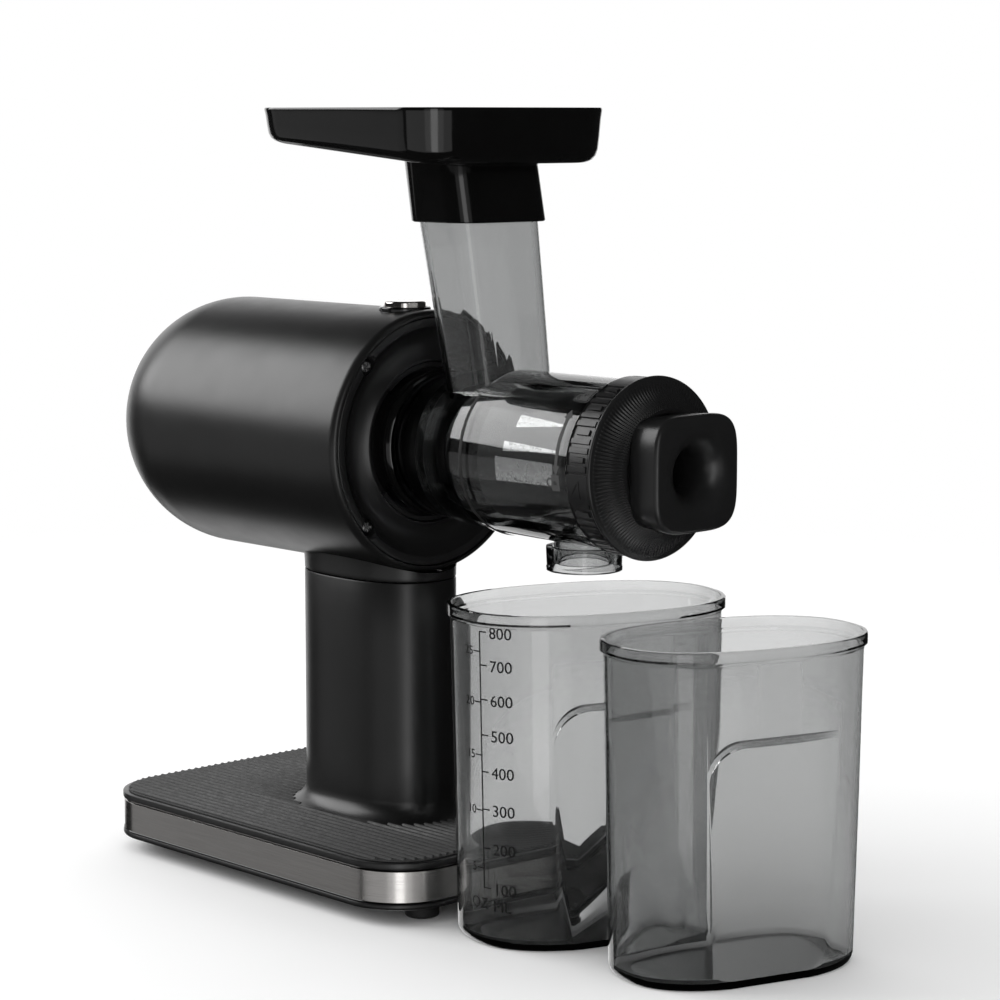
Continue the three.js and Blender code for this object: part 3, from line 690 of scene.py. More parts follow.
def neck_saddle():
    seam = low("neck_saddle").z
    rings = [neck_ring(-HOUSING_WALL, seam), neck_ring(-0.6, seam), neck_ring(-0.18, seam + 0.18)]
    top = AXIS_Z - 42
    rings += [neck_ring(2.5 * t ** 2.2, seam + 0.6 + (top - seam) * t) for t in spaced(0, 1, 10)]
    rings.append(neck_ring(-HOUSING_WALL, top))
    made = body_of("neck_saddle_blend", skin(rings, closed=True))
    combine(made, turned([(-180, 0), (-180, HOUSING_R + 0.15), (60, HOUSING_R + 0.15), (60, 0)], 128))
    piece(made, HOUSING, "base", "neck_saddle", sharp=40)


# ---- Base ----


def base_ring(inset, z, per_corner=18):
    half = (BASE_HALF_LENGTH - inset, BASE_HALF_WIDTH - inset)
    return rounded(half, BASE_CORNER_R - inset, z, BASE_X, 0, per_corner)


def base_skin(steps, closed=False):
    """Base outlines skinned through pairs of inset and height."""
    return skin([base_ring(inset, z) for inset, z in steps], closed)


def base_tray():
    """The lower tray, with the lip that stands out under the band."""
    steps = [(1.2, TRAY_LOW), (0.35, TRAY_LOW + 0.3), (0, TRAY_LOW + 0.9), (0, LIP_TOP - 0.7),
             (0.25, LIP_TOP - 0.2), (0.8, LIP_TOP), (2.4, LIP_TOP), (2.4, BAND_TOP), (5, BAND_TOP),
             (5, TRAY_LOW + 2.6)]
    piece(body_of("base_tray_lip", base_skin(steps)), MATTE, "base", "base_tray")


def base_band():
    bottom, top = low("base_band").z, high("base_band").z
    steps = [(2, bottom), (0.9, bottom), (0.5, bottom + 0.35), (0.5, top - 0.35), (0.9, top), (2, top)]
    piece(body_of("base_band_brushed", base_skin(steps, closed=True)), BAND, "base", "base_band")


def base_trim():
    """A thin bright bead between the band and the lip."""
    z = LIP_TOP + 0.05
    steps = [(0.5, z), (0.25, z + 0.15), (0.2, z + 0.4), (0.35, z + 0.6), (0.49, z + 0.4)]
    piece(body_of("base_trim_bead", base_skin(steps, closed=True)), GLOSS, "base")


def base_deck():
    bottom = low("base_deck").z
    steps = [(3, bottom), (0.5, bottom), (0.1, bottom + 0.3), (0, bottom + 0.7), (0, DECK_TOP - 0.45),
             (0.1, DECK_TOP - 0.15), (0.4, DECK_TOP), (3, DECK_TOP)]
    piece(body_of("base_deck_rim", base_skin(steps)), MATTE, "base", "base_deck")


MAT_INSET = 2.4
RIB_PITCH = 3.7


def rib_spans(y, inset):
    """The stretches of x that a rib at this y covers: inside the mat's outline, outside the neck."""
    reach = BASE_HALF_LENGTH - MAT_INSET - inset
    corner_y = abs(y) - (BASE_HALF_WIDTH - BASE_CORNER_R)
    if corner_y > 0:
        radius = BASE_CORNER_R - MAT_INSET - inset
        reach -= radius - sqrt(max(radius ** 2 - corner_y ** 2, 0))
    ends = (BASE_X - reach, BASE_X + reach)
    neck_y = NECK_HALF[1] + FLARE - 4
    if abs(y) >= neck_y:
        return [ends]
    half = (NECK_HALF[0] + FLARE - 4) * (1 - (abs(y) / neck_y) ** NECK_POWER) ** (1 / NECK_POWER)
    return [(ends[0], NECK_X - half), (NECK_X + half, ends[1])]


def rib(y, start, end):
    """One rounded rib along x."""
    base_z, top = MAT_LOW + 0.5, MAT_TOP
    half = [(0, top), (0.3, top - 0.03), (0.62, top - 0.2), (0.85, base_z + 0.1), (0.95, base_z - 0.2)]
    section = [(-y, z) for y, z in reversed(half)] + half[1:]
    xs = (start, start + 0.4, end - 0.4, end)
    drops = (0.5, 0, 0, 0.5)
    rings = []
    for x, drop in zip(xs, drops):
        rings.append([(x, y + dy, max(z - drop, base_z - 0.2)) for dy, z in section])
    return skin(rings)


def ribbed_mat():
    """A thin sheet with a rim, and a rib every few millimetres."""
    count = int((BASE_HALF_WIDTH - MAT_INSET - 1.2) / RIB_PITCH)
    ribs = []
    for k in range(-count, count + 1):
        for start, end in rib_spans(k * RIB_PITCH, 0.9):
            if end - start > 3:
                ribs.append(rib(k * RIB_PITCH, start, end))
    steps = [(MAT_INSET, MAT_LOW), (MAT_INSET, MAT_LOW + 0.45), (MAT_INSET + 0.2, MAT_LOW + 0.6),
             (MAT_INSET + 0.5, MAT_LOW + 0.6), (MAT_INSET + 0.7, MAT_LOW + 0.45)]
    outline = [base_ring(inset, z, 28) for inset, z in steps]
    count_around = len(outline[0])
    hole_low = neck_ring(FLARE - 3, MAT_LOW, count_around)
    hole_top = neck_ring(FLARE - 3, MAT_LOW + 0.45, count_around)
    sheet = skin([*outline, hole_top, hole_low], closed=True)
    piece(body_of("ribbed_mat_ribs", joined(sheet, *ribs)), MAT, "base", "ribbed_mat", sharp=45)


def foot(name):
    bottom, top = low(name), high(name)
    x, y, _ = centre(name)
    radius = (top.x - bottom.x) / 2
    profile = [(0, 0.5), (2.2, 0.5), (2.6, 0), *arc((radius - 1.2, 1.2), 1.2, -90, 0, 5),
               (radius, 4.2), (radius - 0.5, 4.5), (radius - 0.5, top.z - 0.2), (0, top.z - 0.2)]
    piece(body_of(name + "_pad", turned_upright(profile, x, y, 48)), FOOT, "base", name)


def cord_gland():
    """A ribbed bush at the back of the base."""
    face = high("cord_gland").x
    end = low("cord_gland").x
    z = centre("cord_gland")[2]
    ribs = []
    x = face - 2.3
    while x > end + 1.2:
        ribs += [(x, 5.3), (x - 0.5, 5.3), (x - 0.6, 4.7), (x - 1.1, 4.7)]
        x -= 1.2
    profile = [(face, 3.6), (face, 6.6), (face - 0.4, 7), (face - 1.7, 7), (face - 2, 6.6), *ribs,
               (end + 0.3, 4.7), (end, 4.4), (end, 3.6)]
    made = body_of("cord_gland_bush", across(turned(profile, 48), 0, z - AXIS_Z))
    piece(made, FOOT, "base", "cord_gland")


# ---- Drum, chute and spout ----


def chute_x(z):
    return CHUTE_FOOT[0] - CHUTE_LEAN * (z - CHUTE_FOOT[1])


def chute_ring(z, grow, size_at=None, per_corner=10):
    """A level ring of the chute, which widens upward."""
    rise = ((z if size_at is None else size_at) - CHUTE_FOOT[1]) / (COLLAR_BOTTOM - CHUTE_FOOT[1])
    half = (14.4 + 2.3 * rise + grow, 20.2 + 2.2 * rise + grow)
    return rounded(half, 9 + rise + grow, z, chute_x(z), 0, per_corner)


def drum():
    """Cone, barrel, chute and spout in one clear moulding."""
    outside = [
        (DRUM_BACK, 0), (DRUM_BACK, 28.3), *arc((DRUM_BACK + 0.8, 28.25), 0.8, 180, 100, 4),
        (DRUM_SHOULDER - 0.5, DRUM_R - 0.1), (DRUM_SHOULDER, DRUM_R), (80, DRUM_R),
        (DRUM_STEP - 1, DRUM_R), (DRUM_STEP - 0.5, DRUM_R - 0.4), (DRUM_STEP, DRUM_R - 1.5),
        (DRUM_FRONT - 0.4, DRUM_R - 1.5), (DRUM_FRONT, DRUM_R - 1.9), (DRUM_FRONT, 0),
    ]
    bore = DRUM_R - 3
    inside = [(20, 0), (20, 25.4), (30, 25.4), (35, 26.2), (DRUM_SHOULDER + 2, bore),
              (DRUM_FRONT + 3, bore), (DRUM_FRONT + 3, 0)]
    made = body_of("drum_clear", turned(outside, 112))
    rim = [chute_ring(CHUTE_TOP - 0.5, 0), chute_ring(CHUTE_TOP, -0.5)]
    combine(made, skin([chute_ring(AXIS_Z + 16, 0), chute_ring(AXIS_Z + 70, 0), *rim]), "UNION")
    spout = [(0, SPOUT_BOTTOM + 2.5), (11.6, SPOUT_BOTTOM + 2.5), (12, SPOUT_BOTTOM + 2.9),
             (12, AXIS_Z - 31), (0, AXIS_Z - 31)]
    combine(made, turned_upright(spout, SPOUT_X, 0, 64), "UNION")
    combine(made, turned(inside, 112))
    combine(made, skin([chute_ring(AXIS_Z + 5, -2.4), chute_ring(CHUTE_TOP + 1, -2.4)]))
    hole = [(0, SPOUT_BOTTOM), (9.8, SPOUT_BOTTOM), (9.8, AXIS_Z - 20), (0, AXIS_Z - 20)]
    combine(made, turned_upright(hole, SPOUT_X, 0, 64))
    piece(made, SMOKED, "drum", "drum", sharp=30)


def drum_seam():
    """The dark joint line around the shoulder of the drum."""
    x = DRUM_SHOULDER
    half = 0.8
    profile = [(x - half, DRUM_R - 0.3), (x - half, DRUM_R + 0.05), (x, DRUM_R + 0.2),
               (x + half, DRUM_R + 0.05), (x + half, DRUM_R - 0.3)]
    piece(body_of("drum_seam_line", sweep(profile, 42, 318, 120)), FOOT, "drum")


def spout_ring():
    bottom, top = SPOUT_BOTTOM, SPOUT_TOP
    profile = [(12.4, bottom + 0.3), (12.7, bottom), (14.7, bottom), (15, bottom + 0.3), (15, bottom + 1.8),
               (14.8, bottom + 2.2), (15.1, top - 0.2), (15, top), (12.4, top)]
    made = body_of("spout_ring_clear", turned_upright(profile, SPOUT_X, 0, 72))
    piece(made, SMOKED, "drum", "spout_ring")


def strip_on_drum(pairs, radius, thickness=0.16):
    """A thin raised strip on a round face, from pairs of (x, angle) on its two sides."""
    rings = []
    under, over = radius - 0.05, radius + thickness
    for (x1, angle1), (x2, angle2) in pairs:
        rings.append([on_axis(x1, under, angle1), on_axis(x2, under, angle2),
                      on_axis(x2, over, angle2), on_axis(x1, over, angle1)])
    return skin(rings)


def lock_arrow():
    """The curved arrow with two heads that shows which way the nut turns."""
    x, top, bottom, head = 106, radians(47), radians(93), radians(6.5)
    shaft = [((x - 0.75, a), (x + 0.75, a)) for a in spaced(top + head, bottom - head, 24)]
    parts = [strip_on_drum(shaft, DRUM_R)]
    for tip, way in ((top, 1), (bottom, -1)):
        barb = [((x - wide, tip + way * head * k / 4), (x + wide, tip + way * head * k / 4))
                for k, wide in enumerate((0.05, 0.55, 1.05, 1.6, 2.1))]
        parts.append(strip_on_drum(barb, DRUM_R))
    piece(body_of("lock_arrow", joined(*parts)), ICON, "drum")


def padlock(name, x, angle, is_open):
    """A padlock outline: a body with a square keyhole left free, and a shackle."""
    def at(u, v):
        return (x + v, angle + u / DRUM_R)

    def plate(left, right, low_v, high_v):
        return [(at(left, low_v), at(right, low_v)), (at(left, high_v), at(right, high_v))]

    wide, tall, slot = 3.1, 4.2, 0.7
    inner, outer, neck = 1.15, 1.8, -0.9
    shift = 1.2 if is_open else 0
    walls = [plate(-wide, -slot, 0, tall), plate(slot, wide, 0, tall),
             plate(-slot, slot, 0, 1.1), plate(-slot, slot, 2.8, tall)]
    shackle = [[at(shift - reach * cos(a), neck - reach * sin(a)) for reach in (inner, outer)]
               for a in spaced(0, pi, 16)]
    legs = [plate(-outer + shift, -inner + shift, neck, 0.1)]
    if not is_open:
        legs.append(plate(inner, outer, neck, 0.1))
    parts = [strip_on_drum(pairs, DRUM_R) for pairs in [*walls, shackle, *legs]]
    piece(body_of(name, joined(*parts)), ICON, "drum")


# ---- Screen and auger ----


def filter_screen():
    """A dark cage around a perforated steel sleeve."""
    inner = AUGER_R + 0.7
    back, front = SCREEN_BACK, SCREEN_FRONT
    profile = [(back, inner), (back, 27), (back + 0.6, 27.6), (front - 4.2, 27.6), (front - 4, 29.4),
               (front, 29.4), (front, inner)]
    piece(body_of("screen_cage", turned(profile, 96)), MATTE, "drum", "filter_screen")


# Each window: middle angle and width at the back and front in degrees, then its two ends along x.
WINDOWS = [(56, 11, 2.2, 76, 101), (77, 8, 1.6, 72, 101), (95, 19, 17, 68, 100)]


def screen_windows():
    """Perforated steel windows: long wedges in pairs, and a broad one beside each pair."""
    parts = []
    radius = 27.9
    for quarter in range(4):
        for middle, wide_back, wide_front, back, front in WINDOWS:
            centre_line = radians(quarter * 90 + middle)
            rings = []
            for t in spaced(0, 1, 8):
                half = radians(wide_back + (wide_front - wide_back) * t) / 2
                x = back + (front - back) * t
                angles = spaced(centre_line - half, centre_line + half, 6)
                top = [on_axis(x, radius, a) for a in angles]
                bottom = [on_axis(x, radius - 0.5, a) for a in reversed(angles)]
                rings.append([*top, *bottom])
            parts.append(skin(rings))
    piece(body_of("screen_windows", joined(*parts)), SIEVE, "drum")


def auger():
    """A screw whose core thickens towards the front, on a hexagonal socket."""
    start, end, turns, around, steps = 36.5, 110, 3, 72, 180
    rings = []
    for i in range(steps + 1):
        t = i / steps
        core = 10.5 + 9.5 * t
        ring = []
        for k in range(around):
            angle = k / around * TURN
            from_crest = abs(angle - pi) / pi
            lift = min(max((0.24 - from_crest) / 0.15, 0), 1)
            lift = lift * lift * (3 - 2 * lift)
            turned_by = angle - t * turns * TURN
            radius = core + (AUGER_R - 0.1 - core) * lift
            ring.append((start + t * (end - start), radius * cos(turned_by),
                         AXIS_Z + radius * sin(turned_by)))
        rings.append(ring)
    made = body_of("auger_screw", skin(rings))
    core = [(10, 0), (10, 10.7), (10.4, 11), (36, 11), (40, 10), (105, 12), (109.5, 19.4), (112, 15.5),
            (117, 7.5), (118, 6), (AUGER_FRONT - 1, 6), (AUGER_FRONT, 5), (AUGER_FRONT, 0)]
    combine(made, turned(core, 72), "UNION")
    combine(made, turned([(9, 0), (9, 6.9), (27, 6.9), (27, 0)], 48))
    piece(made, AUGER, "auger", "auger", sharp=45)


# ---- Nut, end plate and nozzle ----

PAD_ANGLE = 100
PAD_HALF = 9.5
BAND_RIBS = 60
BAR_HEIGHT = 0.75
CONE_RIBS = 132
CONE_RIB_HEIGHT = 0.42


def in_pad(bearing):
    """Whether an angle in degrees is on one of the four smooth pads."""
    offset = (bearing - PAD_ANGLE + 45) % 90 - 45
    return abs(offset) < PAD_HALF


def nut_ripple(x, radius, angle):
    """Grip bars on the band, and fine ribs on the cone."""
    bearing = degrees(angle) % 360
    if NUT_BACK + 0.6 < x < 124 and radius > 33:
        slot = bearing / 360 * BAND_RIBS
        index = int(slot)
        start, end = (115, 121.6) if index % 3 == 1 else (113.4, 123.2)
        on_bar = start < x < end and abs(slot - index - 0.5) < 0.3
        return 0 if in_pad(bearing) or on_bar else -BAR_HEIGHT
    if 126.6 < x and radius > 22.9 and x < NUT_FRONT:
        return CONE_RIB_HEIGHT * cos(angle * CONE_RIBS)
    return 0


def lock_nut():
    bore = 21.3
    rows = [113, 113.3, 113.5, 114.9, 115.1, 118, 121.5, 121.7, 123.1, 123.3, 123.8]
    band = [(NUT_BACK, 31.9), (NUT_BACK, NUT_R - 0.5), (NUT_BACK + 0.4, NUT_R - 0.1)]
    band += [(x, NUT_R) for x in rows]
    lip = [(124.2, NUT_R), (124.4, 35), *arc((125.4, 34.5), 0.9, 125, 20, 6), (126.3, 34.0), (126.5, 33.4)]
    cone = [(126.7 + 5.0 * t ** 1.7, 33.0 - 8.3 * t) for t in spaced(0, 1, 16)]
    step = [(131.9, 24.5), (132.1, 24.1), (NUT_FRONT - 0.3, 24.0), (NUT_FRONT - 0.01, 23.6),
            (NUT_FRONT, 22.5)]
    inside = [(NUT_FRONT, bore + 0.3), (NUT_FRONT - 0.3, bore), (128.4, bore), (126, 27), (124.3, 31.9)]
    profile = [*band, *lip, *cone, *step, *inside]
    made = body_of("lock_nut_grip", turned(profile, CONE_RIBS * 8, nut_ripple))
    piece(made, MATTE, "lock_nut", "lock_nut", sharp=50)


def nut_pointer():
    """A raised pointer on the pad: a bar with a slanted flag."""
    middle = radians(PAD_ANGLE)

    def at(u, v):
        return (118 + u, middle + v / NUT_R)

    bar = [(at(0.9, v), at(1.5, v)) for v in spaced(-3.6, 3.6, 6)]
    flag = [(at(u, v), at(u, v + 0.8)) for u, v in zip(spaced(-2.6, 0.9, 5), spaced(1.2, -3.6, 5))]
    parts = [strip_on_drum(pairs, NUT_R, 0.2) for pairs in (bar, flag)]
    piece(body_of("nut_pointer", joined(*parts)), MATTE, "lock_nut")


def end_plate():
    front = NUT_FRONT
    profile = [
        (118, 10.5), (118, 29), (118.6, 29.6), (DRUM_FRONT + 0.3, 29.6), (DRUM_FRONT + 0.3, 31.2),
        (123.9, 31.2), (124, 20.9), (front, 20.9), (front, 10.5),
    ]
    piece(body_of("end_plate_turned", turned(profile, 96)), MATTE, "end_cap", "end_plate")


def pulp_nozzle():
    """A squarish block whose face dishes into a round hole."""
    count = 96

    def squarish(x, half, power=4.2):
        return [(x, -py, AXIS_Z + pz) for py, pz, _ in oval((half, half), 0, power, count=count)]

    def mixed(x, half, radius, share):
        outer, inner = squarish(x, half), squarish(x, radius, 2.0)
        return [tuple(Vector(a).lerp(Vector(b), share)) for a, b in zip(outer, inner)]

    face, back, half = NOZZLE_FACE, NOZZLE_BACK, NOZZLE_HALF
    rings = [squarish(back, half - 1.4), squarish(back + 0.4, half - 1.0)]
    rings += [squarish(back + 6, half - 0.6), squarish(face - 2.4, half)]
    for a in spaced(0, TURN / 4, 6)[1:]:
        rings.append(squarish(face - 2.2 + 1.9 * sin(a), half - 1.6 * (1 - cos(a))))
    for share in (0.25, 0.5, 0.75, 1.0):
        rings.append(mixed(face - 0.3 + 0.3 * share, half - 1.8, 17.6, share))
    for t in spaced(0, 1, 14)[1:]:
        depth = 11.5 * t ** 1.6
        radius = 17.6 - 9.6 * sin(t * TURN / 4) ** 0.85
        rings.append(squarish(face - depth, radius, 2.0))
    rings.append(squarish(back, 8.0, 2.0))
    made = body_of("pulp_nozzle_dished", skin(rings, closed=True))
    piece(made, MATTE, "end_cap", "pulp_nozzle", sharp=45)


# ---- Feed tray ----


TRAY_CORNER_STEPS = 12


def tray_depth(x):
    """The floor falls towards the front."""
    return 21 - 0.085 * (37 - x)


def tray_ring(inset, share, thickness=0.0):
    half = (TRAY_HALF[0] - inset, TRAY_HALF[1] - inset)
    ring = rounded(half, TRAY_CORNER_R - inset * 0.6, 0, TRAY_X, 0, TRAY_CORNER_STEPS)
    return [(x, y, TRAY_TOP - share * (tray_depth(x) - thickness)) for x, y, _ in ring]


def on_floor(ring, thickness):
    return [(x, y, TRAY_TOP - tray_depth(x) + thickness) for x, y, _ in ring]


def feed_tray():
    wall, grip = 2.2, 2.2

    def collar(z, grow):
        return chute_ring(z, grow, CHUTE_TOP, TRAY_CORNER_STEPS)

    inner_floor = on_floor(collar(TRAY_TOP - 19, 0.4), wall)
    under = on_floor(collar(TRAY_TOP - 20, grip), 0)
    flared = on_floor(collar(TRAY_TOP - 20, grip + 1.4), 0)
    neck = [(x, y, z - 1.6) for x, y, z in under]
    outer = [(7, 1), (4.9, 0.985), (3.4, 0.94), (2.2, 0.86), (1.5, 0.74), (1.0, 0.5), (0.5, 0.2),
             (0.1, 0.06), (0.1, 0.03), (0.35, 0.0), (1.8, 0.0)]
    inner = [(wall, 0.03), (wall + 0.4, 0.2), (wall + 1.2, 0.6), (wall + 2.2, 0.84), (wall + 4, 0.96),
             (wall + 7, 1)]
    rings = [
        collar(COLLAR_BOTTOM + 0.4, 0.4), collar(COLLAR_BOTTOM, 0.8),
        collar(COLLAR_BOTTOM, grip - 0.4), collar(COLLAR_BOTTOM + 0.4, grip), neck, flared,
        *[tray_ring(inset, share) for inset, share in outer],
        *[tray_ring(inset, share, wall) for inset, share in inner], inner_floor,
    ]
    made = body_of("feed_tray_bowl", skin(rings, closed=True))
    piece(made, GLOSS, "feed_tray", "feed_tray", sharp=40)


# ---- Cups ----


def cup_place(cup, x, y, z):
    turn = radians(cup["turn"])
    return (cup["x"] + x * cos(turn) - y * sin(turn), cup["y"] + x * sin(turn) + y * cos(turn), z)


def cup_scale(cup, z):
    """The cup widens from its foot to the bead under its rim."""
    return 0.92 + 0.055 * z / (cup["height"] - 5)


def cup_ring(cup, z, scale, inset):
    half = (cup["half"][0] * scale - inset, cup["half"][1] * scale - inset)
    return [cup_place(cup, *point) for point in oval(half, z, CUP_POWER, count=128)]


def cup_flat(cup, inset, bottom):
    """The tool that presses the flat, whose upper corner is round on one side."""
    flat_x = cup["half"][0] * 0.85 - inset
    top = cup["height"] * 0.715 + inset
    half = cup["half"][1] * 0.53
    radius = 14
    far = cup["half"][1] + 6
    outline = [(-half, bottom), (far, bottom), (far, top)]
    outline += arc((radius - half, top - radius), radius, 90, 180, 10)
    rings = [[cup_place(cup, x, y, z) for y, z in outline] for x in (flat_x, cup["half"][0] + 6)]
    return skin(rings)


def cup(name, shape, node, body):
    top = shape["height"]
    foot = [(0, 0.875, 0.4), (0, 0.885, 0), (0.6, 0.9, 0), (1.6, 0.912, 0), (3.2, cup_scale(shape, 3.2), 0)]
    bead = [(top - 6.2, 0.974, 0), (top - 5.2, 0.979, 0), (top - 4.6, 0.992, 0), (top - 4.2, 1, 0),
            (top - 0.9, 1, 0), (top - 0.3, 0.997, 0), (top, 0.991, 0)]
    outside = [cup_ring(shape, *step) for step in [*foot, *bead]]
    hollow = [(2.4, 0.88, CUP_WALL), (3, 0.9, CUP_WALL), (4.2, cup_scale(shape, 4.2), CUP_WALL),
              (top - 5.4, 0.974, CUP_WALL), (top - 3.6, 0.988, 1.4), (top + 2, 0.995, 1.4)]
    inside = [cup_ring(shape, *step) for step in hollow]
    made = body_of(name, skin(outside))
    combine(made, cup_flat(shape, 0, -3))
    tool = body_of(name + "_hollow", skin(inside))
    combine(tool, cup_flat(shape, CUP_WALL, -3))
    combine_with(made, tool)
    piece(made, SMOKED, body, node, sharp=30)


SCALE_ANGLE = radians(-72)


def scale_height(millilitres):
    """The marks close up as the cup widens."""
    k = millilitres / 100 - 1
    return 23.5 + 15.9 * k - 0.235 * k * k


def on_cup(shape, along, z, lift):
    """A point on the cup's face, along millimetres to the right of the scale line."""
    scale = cup_scale(shape, z)
    half_x, half_y = shape["half"][0] * scale + lift, shape["half"][1] * scale + lift

    def face(angle):
        c, s = cos(angle), sin(angle)
        return (half_x * copysign(abs(c) ** (2 / CUP_POWER), c),
                half_y * copysign(abs(s) ** (2 / CUP_POWER), s))

    step = 0.01
    here, there = face(SCALE_ANGLE), face(SCALE_ANGLE + step)
    speed = dist(here, there) / step
    return cup_place(shape, *face(SCALE_ANGLE + along / speed), z)


def print_bar(shape, left, right, bottom, top):
    """A printed bar on the cup's face."""
    rings = []
    for along in spaced(left, right, 4):
        rings.append([on_cup(shape, along, bottom, -0.03), on_cup(shape, along, top, -0.03),
                      on_cup(shape, along, top, 0.12), on_cup(shape, along, bottom, 0.12)])
    return skin(rings)


def print_text(shape, words, along, z, size):
    """Letters as thin solids that follow the cup's face."""
    data = bpy.data.curves.new("words", "FONT")
    data.body = words
    data.size = size
    data.align_x = "LEFT"
    data.align_y = "CENTER"
    data.extrude = 0.5
    data.resolution_u = 3
    source = add_object("words", data)
    mesh = solved_mesh(source)
    points = []
    for vertex in mesh.vertices:
        lift = 0.12 if vertex.co.z > 0 else -0.03
        points.append(on_cup(shape, along + vertex.co.x, z + vertex.co.y, lift))
    faces = [tuple(face.vertices) for face in mesh.polygons]
    bpy.data.objects.remove(source)
    return points, faces


def graduations():
    """The millilitre and ounce scale printed on the juice cup."""
    shape = JUICE_CUP
    ounce = 29.57
    bars = []
    bottom, top = scale_height(100), scale_height(800)
    rows = 16
    for k in range(rows):
        z = bottom + (top - bottom) * k / rows
        bars.append(print_bar(shape, -0.28, 0.28, z - 0.2, z + (top - bottom) / rows))
    words = []
    for volume in range(100, 900, 100):
        z = scale_height(volume)
        bars.append(print_bar(shape, 0, 3.4, z - 0.25, z + 0.25))
        words.append(print_text(shape, str(volume), 4.6, z - 0.4, 6.4))
    for volume in range(5, 30, 5):
        z = scale_height(volume * ounce)
        bars.append(print_bar(shape, -3.4, 0, z - 0.25, z + 0.25))
        words.append(print_text(shape, str(volume), -8.6 if volume > 5 else -6.4, z - 0.2, 5))
    words.append(print_text(shape, "OZ", -7.2, bottom - 6.5, 6.2))
    words.append(print_text(shape, "ML", 4.2, bottom - 7, 6.2))
    piece(body_of("cup_graduations", joined(*bars, *words)), INK, "juice_cup")


# ---- Build ----

motor_housing()
front_plate()
socket_ledge("socket_ledge_lower", 128, 224)
socket_ledge("socket_ledge_upper", -52, 44)
for index, (y, z) in enumerate(PLATE_SCREWS, 1):
    screw_head(f"plate_screw_head_{index}", y, z, -4.6, 3.0, 2.4, f"plate_screw_{index}")
for index, (y, z) in enumerate(SEAT_SCREWS, 1):
    screw_head(f"seat_screw_head_{index}", y, z, 7.0, 1.6, 1.3, f"seat_screw_{index}")
bayonet_ring()
drum_seat()
start_button()
button_bezel()
neck_column()
neck_saddle()
base_tray()
base_band()
base_trim()
base_deck()
ribbed_mat()
for end in ("rear", "front"):
    for side in ("left", "right"):
        foot(f"foot_{end}_{side}")
cord_gland()
drum()
drum_seam()
spout_ring()
lock_arrow()
padlock("padlock_open", 105.5, radians(33), True)
padlock("padlock_closed", 103.5, radians(98), False)
filter_screen()
screen_windows()
auger()
lock_nut()
nut_pointer()
end_plate()
pulp_nozzle()
feed_tray()
cup("juice_cup_clear", JUICE_CUP, "juice_cup", "juice_cup")
cup("pulp_cup_clear", PULP_CUP, "pulp_cup", "pulp_cup")
graduations()

# The pieces inside keep their CAD shapes.
INNER_FINISHES = {
    MACHINED: ("gearbox_case", "planet_carrier", "output_bearing", "sun_gear", "motor_can", "button_spring"),
    GEAR: ("ring_gear", "planet_gear_1", "planet_gear_2", "planet_gear_3"),
    MATTE: ("start_switch", "motor_end_cap", "cooling_fan"),
    FOOT: ("shaft_seal", "auger_seal"),
    COPPER: ("motor_rotor",),
    BOARD: ("control_board",),
}
for finish, nodes in INNER_FINISHES.items():
    for node in nodes:
        for place in frame["nodes"][node].material_slots:
            place.material = finish

# ---- Floor, world and lights ----


def floor():
    """A pale disc that fades into the white surroundings."""
    radius, sides, drop = 3.0, 64, 0.0002
    mesh = bpy.data.meshes.new("floor")
    angles = [k / sides * TURN for k in range(sides)]
    mesh.from_pydata([(radius * cos(a), radius * sin(a), -drop) for a in angles], [], [tuple(range(sides))])
    made = add_object("floor", mesh)
    material = new_material("floor_paper", grey(0.93), 0.9)
    roughen(material, noise(material, 30, 3), 0.85, 0.95)
    tree = material.node_tree
    place = add_node(tree, "ShaderNodeTexCoord")
    length = add_node(tree, "ShaderNodeVectorMath")
    length.operation = "LENGTH"
    fade = add_node(tree, "ShaderNodeMapRange", From_Min=0.45, From_Max=1.1)
    fade.interpolation_type = "SMOOTHSTEP"
    clear = add_node(tree, "ShaderNodeBsdfTransparent")
    mix = add_node(tree, "ShaderNodeMixShader")
    link(place.outputs["Object"], length.inputs[0])
    link(length.outputs["Value"], fade.inputs["Value"])
    link(fade.outputs["Result"], mix.inputs["Fac"])
    link(shader_of(material).outputs["BSDF"], mix.inputs[1])
    link(clear.outputs["BSDF"], mix.inputs[2])
    link(mix.outputs["Shader"], tree.nodes["Material Output"].inputs["Surface"])
    mesh.materials.append(material)
    made.visible_glossy = False


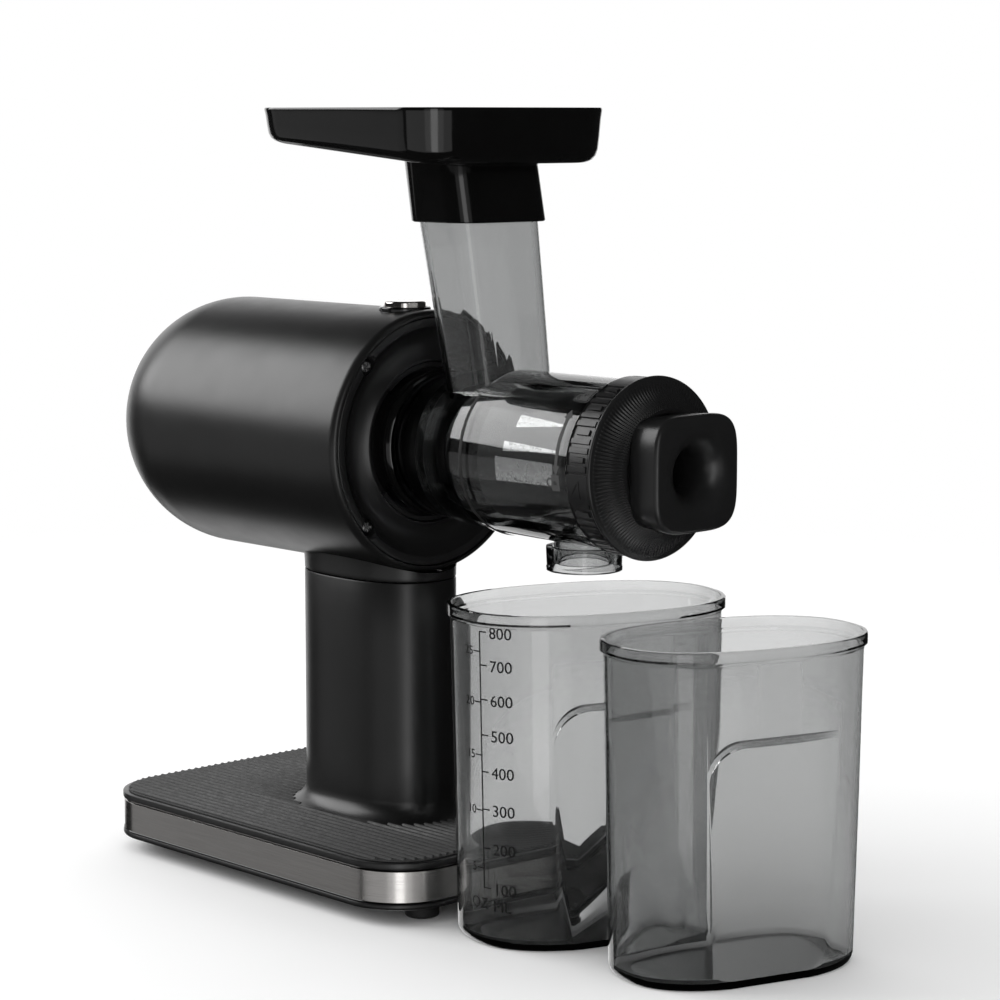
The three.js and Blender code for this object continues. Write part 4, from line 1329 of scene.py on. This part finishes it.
def surroundings():
    """White behind the object, and a dim studio in its reflections."""
    world_data = bpy.data.worlds.new("studio")
    bpy.context.scene.world = world_data
    world_data.use_nodes = True
    tree = world_data.node_tree
    dim = tree.nodes["Background"]
    dim.inputs["Color"].default_value = (1, 1, 1, 1)
    white = add_node(tree, "ShaderNodeBackground", Color=(1, 1, 1, 1), Strength=1.0)
    path = add_node(tree, "ShaderNodeLightPath")
    seen = add_node(tree, "ShaderNodeMath")
    seen.operation = "MAXIMUM"
    level = add_node(tree, "ShaderNodeMix", A=0.02, B=0.86)
    mix = add_node(tree, "ShaderNodeMixShader")
    link(path.outputs["Is Camera Ray"], seen.inputs[0])
    link(path.outputs["Is Transmission Ray"], seen.inputs[1])
    link(path.outputs["Is Diffuse Ray"], level.inputs["Factor"])
    link(level.outputs["Result"], dim.inputs["Strength"])
    link(seen.outputs["Value"], mix.inputs["Fac"])
    link(dim.outputs["Background"], mix.inputs[1])
    link(white.outputs["Background"], mix.inputs[2])
    link(mix.outputs["Shader"], tree.nodes["World Output"].inputs["Surface"])


LIGHT_AIM = Vector((0, 0, 0.17))


def panel(name, direction, distance, size, radiance, through=False):
    """A soft rectangular light that faces the object; through lets it show in clear pieces."""
    data = bpy.data.lights.new(name, "AREA")
    data.shape = "RECTANGLE"
    data.size, data.size_y = size
    data.energy = radiance * pi * size[0] * size[1]
    made = add_object(name, data)
    way = Vector(direction).normalized()
    made.location = LIGHT_AIM + way * distance
    made.rotation_euler = (-way).to_track_quat("-Z", "Y").to_euler()
    made.visible_camera = False
    made.visible_transmission = through


floor()
surroundings()
panel("softbox", (-0.727, -0.42, 0.42), 2.0, (1.5, 1.25), 4.5, through=True)
panel("side_sheet", (-0.727, -0.674, -0.21), 2.0, (1.5, 0.72), 0.32)
panel("front_glow", (0.57, -0.82, -0.27), 1.3, (3.4, 0.72), 0.55)
panel("front_sheet", (0.74, -0.67, 0.0), 2.2, (1.7, 2.4), 0.35)
panel("front_strip", (0.74, -0.67, -0.02), 2.2, (0.6, 2.4), 1.6)
panel("back_sheet", (-0.80, 0.60, 0.1), 2.4, (3.0, 2.0), 1.2)
panel("low_sheet", (-0.727, 0.35, -0.6), 1.8, (1.2, 0.9), 1.0)
